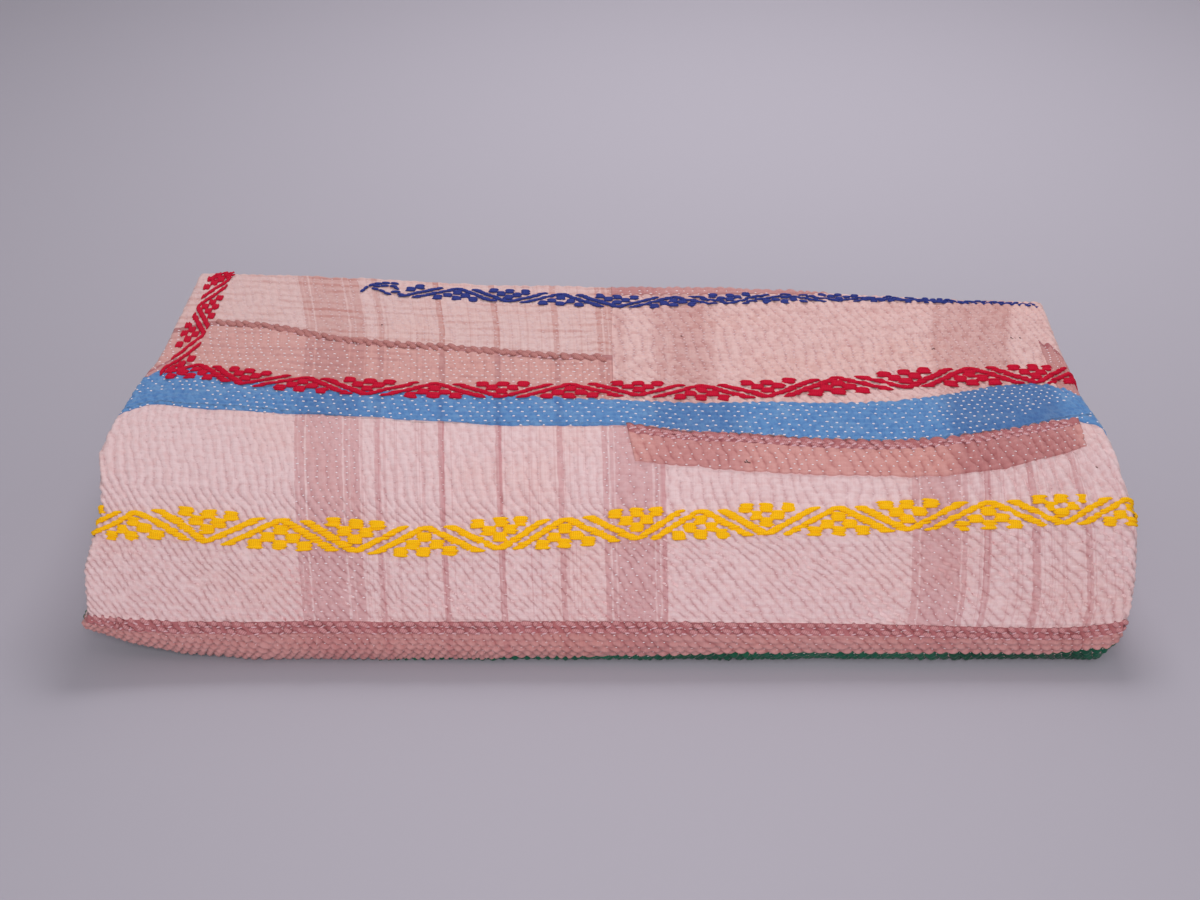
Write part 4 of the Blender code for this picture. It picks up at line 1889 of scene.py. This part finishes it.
LOOSE = (
    LooseThreads(
        "navy_hook", NAVY_THREAD,
        (
            (-0.1690, 0.0160, 0.0022, -0.9), (-0.1674, 0.0122, 0.0026, -1.1),
            (-0.1640, 0.0085, 0.0028, -0.7), (-0.1600, 0.0063, 0.0030, -0.1),
            (-0.1548, 0.0052, 0.0034, 0.0), (-0.1490, 0.0050, 0.0032, 0.1),
            (-0.1606, 0.0092, 0.0030, 0.1), (-0.1552, 0.0086, 0.0034, -0.1),
            (-0.1494, 0.0084, 0.0030, 0.1), (-0.1470, 0.0108, 0.0026, 0.6),
            (-0.1610, 0.0128, 0.0030, 0.3), (-0.1560, 0.0150, 0.0030, 0.5),
            (-0.1520, 0.0176, 0.0030, 0.3), (-0.1470, 0.0150, 0.0036, -0.1),
            (-0.1430, 0.0180, 0.0030, 0.2),
        ),
        width=0.0011,
    ),
    LooseThreads(
        "red_tuft", RED_THREAD,
        (
            (-0.2790, 0.0070, 0.0032, -0.5), (-0.2768, 0.0046, 0.0034, -0.9),
            (-0.2742, 0.0030, 0.0034, -1.1), (-0.2716, 0.0018, 0.0036, -0.8),
            (-0.2694, 0.0010, 0.0030, -1.2), (-0.2670, 0.0018, 0.0032, -0.6),
            (-0.2648, 0.0014, 0.0030, -1.0), (-0.2780, 0.0096, 0.0030, -0.2),
            (-0.2752, 0.0078, 0.0036, -0.3), (-0.2724, 0.0062, 0.0036, -0.4),
            (-0.2698, 0.0048, 0.0034, -0.6), (-0.2668, 0.0044, 0.0032, -0.3),
            (-0.2642, 0.0038, 0.0030, -0.7), (-0.2660, 0.0072, 0.0032, -0.2),
            (-0.2730, 0.0100, 0.0036, -0.3),
        ),
        width=0.0006, raised=0.0010,
    ),
    LooseThreads(
        "red_fray", RED_THREAD,
        (
            (0.2895, 0.0975, 0.0030, 0.7), (0.2915, 0.1000, 0.0032, 1.0),
            (0.2925, 0.1030, 0.0032, 1.2), (0.2935, 0.1062, 0.0032, 1.3),
            (0.2905, 0.1012, 0.0030, 0.9), (0.2940, 0.0985, 0.0026, -0.5),
            (0.2930, 0.1092, 0.0030, 1.4), (0.2918, 0.1050, 0.0030, 1.1),
        ),
        width=0.0007,
    ),
    LooseThreads(
        "lint", BROWN_THREAD,
        (
            (0.2527, 0.0502, 0.0010, 0.9), (0.2539, 0.0516, 0.0008, 0.2),
            (0.2595, 0.0500, 0.0009, 0.5), (0.1954, 0.0662, 0.0009, 0.4),
            (0.1941, 0.0674, 0.0007, 1.2), (0.0361, 0.0622, 0.0008, 0.3),
            (0.0721, 0.1807, 0.0013, 1.1), (0.0730, 0.1817, 0.0012, 0.1),
            (0.0712, 0.1814, 0.0009, 0.6), (0.2729, 0.1802, 0.0009, 0.5),
            (-0.1500, 0.0560, 0.0006, 0.2),
        ),
        width=0.0004, height=0.0005, raised=0.0002,
    ),
)


@dataclass
class RunningStitches:
    """The stitches of the quilting: each a short thread in the dip that it makes.

    They are white where the cloth is coloured, and as pale a pink as the cloth between the bands.
    On the border patch the stitches of every other row are staggered. The sizes are distances
    along beyond which stitches are smaller, and how small. The wobble is the unevenness of their
    place across, place along, length and turn.
    """

    half: float = 0.00082
    width: float = 0.00042
    height: float = 0.00038
    raised: float = 0.00022
    over: Pair = (-0.2915, 0.2965)
    span: Pair = (0.0005, 0.307)
    stagger: float = 0.0031
    around: Pair = (0.0006, 0.0005)
    wide_band: float = 0.02
    white_to: float = 0.265
    blue_size: float = 1.10
    sizes: Points = ((0.13, 0.84), (0.268, 0.7))
    wobble: Four = (0.0004, 0.00025, 0.22, 0.10)
    seed: int = 9

    def build(self, bundle: Bundle, quilting: Quilting) -> None:
        """Builds all that show on the outside of the bundle, joined in one mesh of each colour."""
        rng = np.random.default_rng(self.seed)
        across_wobble, along_wobble, half_wobble, turn_wobble = self.wobble
        across, along = quilting.stitch_places(self.over, self.span)
        count = len(across)
        across = across + rng.normal(0, across_wobble, count)
        along = along + rng.normal(0, along_wobble, count)
        odd = np.round(quilting.row(across, along)) % 2
        across = across + odd * self.stagger * BORDER_PATCH.covers(across, along)
        half = self.half * (1 + rng.normal(0, half_wobble, count).clip(-0.5, 0.6))
        turn = rng.normal(0, turn_wobble, count)
        base = self.surface(quilting, across, along) + cover(across, along) + self.raised
        white, size = self.is_white(across, along), self.size(across, along)
        kinds = (
            ("white_stitches", white, WHITE_THREAD),
            ("faded_stitches", ~white, FADED_THREAD),
        )
        for name, kept, finish in kinds:
            places = (across[kept], along[kept], (half * size)[kept], turn[kept])
            girth = (self.width * size[kept], self.height * size[kept])
            stitches = Stitches(*places, *girth, base[kept], stations=5, sides=2)
            stitches.build(name, bundle, finish)

    def surface(self, quilting: Quilting, across: Array, along: Array) -> Array:
        """Mean height of the puckered cloth at four places round each stitch's middle."""
        reach_across, reach_along = self.around
        around = [(i * reach_across, j * reach_along) for i in (-1, 1) for j in (-1, 1)]
        return np.mean([quilting.pucker(across + dx, along + dw) for dx, dw in around], axis=0)

    def is_white(self, across: Array, along: Array) -> Array:
        """Whether each stitch is white: on a wide band of the front, or on a coloured patch."""
        place = cloth_place(across, along)
        wide = [stripe for stripe in MAIN_STRIPES if stripe.width > self.wide_band]
        bands = [np.abs(place - band.at) < band.width / 2 for band in wide]
        on_band = np.any(bands, axis=0) & ~TOP_CLOTH.covers(across, along)
        above_line = along < smooth_line(CHECKED_PATCH.line, across)
        pale_part = CHECKED_PATCH.covers(across, along) & above_line
        on_patch = (cover(across, along) > 0) & ~pale_part & (along < self.white_to)
        return on_band | on_patch

    def size(self, across: Array, along: Array) -> Array:
        """How large each stitch is, as a share of the full size."""
        (front, front_size), (foot, foot_size) = self.sizes
        size = np.where(along > front, front_size, 1.0)
        size = np.where(BLUE_STRIP.covers(across, along), self.blue_size, size)
        return np.where(along > foot, foot_size, size)


@dataclass
class RopeStitches:
    """Rows of longer stitches close together along a dark line, which makes it look like a rope.

    The rows follow the line's edge from a start to an end, each at its own distance from it. The
    wobble is the unevenness of a stitch's place across, place along, length and turn.
    """

    name: str
    edge: Points
    start: float
    end: float
    rows: tuple[float, ...] = (0.0009, 0.0029, 0.0049)
    finish: Thread = PINK_THREAD
    seed: int = 21
    pitch: float = 0.0062
    half: float = 0.0021
    turn: float = -0.16
    width: float = 0.00058
    height: float = 0.00065
    raised: float = 0.00012
    wobble: Four = (0.0005, 0.00022, 0.20, 0.14)

    def build(self, bundle: Bundle, quilting: Quilting) -> None:
        """Builds the rows: each row's stitches lie over the gaps of the one before."""
        rng = np.random.default_rng(self.seed)
        across_wobble, along_wobble, half_wobble, turn_wobble = self.wobble
        count = int((self.end - self.start) / self.pitch)
        rows = np.arange(len(self.rows))
        row, index = (value.ravel() for value in np.meshgrid(rows, np.arange(count), indexing="ij"))
        across = self.start + (index + 0.5 * (row % 2) + 0.4) * self.pitch
        across = across + rng.normal(0, across_wobble, row.size)
        along = smooth_line(self.edge, across) + np.array(self.rows)[row]
        along = along + rng.normal(0, along_wobble, row.size)
        half = self.half * (1 + rng.normal(0, half_wobble, row.size).clip(-0.6, 0.5))
        turn = self.turn + rng.normal(0, turn_wobble, row.size)
        base = quilting.pucker(across, along) * 0.5 + cover(across, along) + self.raised
        stitches = Stitches(across, along, half, turn, self.width, self.height, base)
        stitches.build(self.name, bundle, self.finish)


NAVY_EDGE = (
    (0.110, 0.0080), (0.150, 0.0050), (0.181, 0.0036), (0.230, 0.0024), (0.255, 0.0024),
    (0.290, 0.0054),
)
ROPES = (
    RopeStitches(
        "border_braid", BOTTOM_BORDER.near, start=-0.286, end=0.292, rows=(0.0013, 0.0048),
        finish=BRAID_THREAD, seed=25, half=0.0025, turn=0.24, width=0.00150, height=0.00150,
    ),
    RopeStitches(
        "border_rope", BOTTOM_BORDER.near, start=-0.284, end=0.290, rows=(0.0028, 0.0060),
        half=0.0015, width=0.00045, height=0.00165,
    ),
    RopeStitches(
        "patch_braid", BORDER_PATCH.near, start=0.006, end=0.272, rows=(0.0026, 0.0050),
        finish=BRAID_THREAD, seed=26, half=0.0026, turn=0.24, width=0.00125, height=0.00085,
    ),
    RopeStitches(
        "patch_rope", BORDER_PATCH.near, start=0.006, end=0.270, rows=(0.0038, 0.0062), seed=22,
        half=0.0016, width=0.00045, height=0.00110,
    ),
    RopeStitches(
        "checked_rope", CHECKED_PATCH.line, start=-0.262, end=-0.010, rows=(-0.0010, 0.0016),
        finish=ROPE_THREAD, seed=23, pitch=0.0068, half=0.0031, turn=0.45, width=0.00210,
        height=0.00170,
    ),
    RopeStitches(
        "checked_line", CHECKED_PATCH.line, start=-0.262, end=-0.010, rows=(0.0028,), seed=24,
        half=0.0016,
    ),
    RopeStitches(
        "navy_line", NAVY_EDGE, start=0.150, end=0.283, rows=(0.0000, 0.0018), finish=NAVY_THREAD,
        seed=27, pitch=0.0060, half=0.0036, turn=0.02, width=0.00080, height=0.00100,
    ),
)


# ---- studio
@dataclass(frozen=True)
class Lamp:
    """A soft rectangular light of a size, or a round beam of an angle that fades to its edge."""

    name: str
    place: Place
    aim: Place
    power: float
    size: Pair = (0.0, 0.0)
    angle: float = 0.0
    softness: float = 0.20

    def hang(self) -> None:
        """Adds the light to the scene."""
        data = bpy.data.lights.new(self.name, "SPOT" if self.angle else "AREA")
        data.energy = self.power
        if self.angle:
            data.spot_size = math.radians(self.angle)
            data.spot_blend = 1.0
            data.shadow_soft_size = self.softness
        else:
            data.shape = "RECTANGLE"
            data.size, data.size_y = self.size
        lamp = bpy.data.objects.new(self.name, data)
        lamp.location = self.place
        away = lamp.location - type(lamp.location)(self.aim)
        lamp.rotation_euler = away.to_track_quat("Z", "Y").to_euler()
        bpy.context.scene.collection.objects.link(lamp)


@dataclass
class Studio:
    """A pale floor that curves up far behind, soft light and the camera.

    The camera stands at its place, looks down by its pitch and to the left by its yaw, in
    degrees. Its lens and sensor are in millimetres.
    """

    floor: Colour = paint(176, 170, 181)
    floor_roughness: float = 0.95
    floor_half_width: float = 4.0
    floor_front: float = -5.0
    floor_back: float = 1.6
    floor_curve: float = 1.5
    floor_top: float = 4.0
    lamps: tuple[Lamp, ...] = (
        Lamp("back_light", (0.14, 1.50, 1.35), (0.14, 1.50, 0.0), power=9.1, size=(0.7, 1.6)),
        Lamp("top_light", (0.14, 0.75, 1.20), (0.14, 0.75, 0.0), power=6.6, size=(0.6, 0.6)),
        Lamp("front_light", (0.05, -2.20, 1.30), (0.04, 0.0, 0.05), power=11.8, size=(1.2, 0.8)),
        Lamp("near_light", (0.05, -1.60, 1.10), (0.04, 0.0, 0.0), power=11.6, size=(0.6, 0.4)),
        Lamp("middle_light", (0.03, -0.70, 0.95), (0.03, -0.20, 0.0), power=5.0, angle=42.0),
    )
    air: Colour = (0.96, 0.97, 1.0)
    air_strength: float = 0.32
    camera_place: Place = (0.0209, -0.9027, 0.55)
    pitch: float = 28.1
    yaw: float = 1.9
    lens: float = 52.0
    sensor: float = 36.0

    def build(self) -> None:
        """Builds the floor, the lights and the camera, and shows colours as they are."""
        self.lay_floor()
        for lamp in self.lamps:
            lamp.hang()
        self.fill_air()
        self.stand_camera()
        bpy.context.scene.view_settings.view_transform = "Standard"

    def lay_floor(self, steps: int = 24) -> None:
        """Builds the floor: a level stretch, a quarter turn and a rise, carried sideways."""
        turn = np.linspace(0, math.pi / 2, steps + 1)
        y = self.floor_back + self.floor_curve * np.sin(turn)
        rise = np.stack([y, self.floor_curve * (1 - np.cos(turn))], -1)
        wall = self.floor_back + self.floor_curve
        profile = np.concatenate([[[self.floor_front, 0.0]], rise, [[wall, self.floor_top]]])
        ends = (-self.floor_half_width, self.floor_half_width)
        points = np.array([[[x, y, z] for x in ends] for y, z in profile])
        floor = mesh_object("floor", points, grid_faces(len(profile), 2))
        floor.data.materials.append(Tree("pale floor", self.floor_roughness).finish(self.floor))

    def fill_air(self) -> None:
        """Gives the scene an even light from all round."""
        world = bpy.data.worlds.new("soft room")
        world.use_nodes = True
        background = world.node_tree.nodes["Background"]
        background.inputs["Color"].default_value = (*self.air, 1.0)
        background.inputs["Strength"].default_value = self.air_strength
        bpy.context.scene.world = world

    def stand_camera(self) -> None:
        """Adds the camera and makes it the scene's."""
        camera = bpy.data.objects.new("camera", bpy.data.cameras.new("camera"))
        bpy.context.scene.collection.objects.link(camera)
        camera.location = self.camera_place
        camera.rotation_euler = (math.radians(90 - self.pitch), 0.0, math.radians(self.yaw))
        camera.data.lens = self.lens
        camera.data.sensor_width = self.sensor
        bpy.context.scene.camera = camera


def main() -> None:
    """Builds the quilt from the inside out, then the studio."""
    logging.basicConfig(level=logging.INFO, format="%(name)s: %(message)s")
    bundle, quilting = Bundle(), Quilting()
    FoldedSheet(bundle).build()
    for piece in (TOP_CLOTH, FRONT_CLOTH, *PATCHES):
        piece.build(bundle, quilting)
    RunningStitches().build(bundle, quilting)
    for piece in (*ROPES, *LOOSE, *CHAINS):
        piece.build(bundle, quilting)
    Studio().build()


if __name__ == "__main__":
    main()
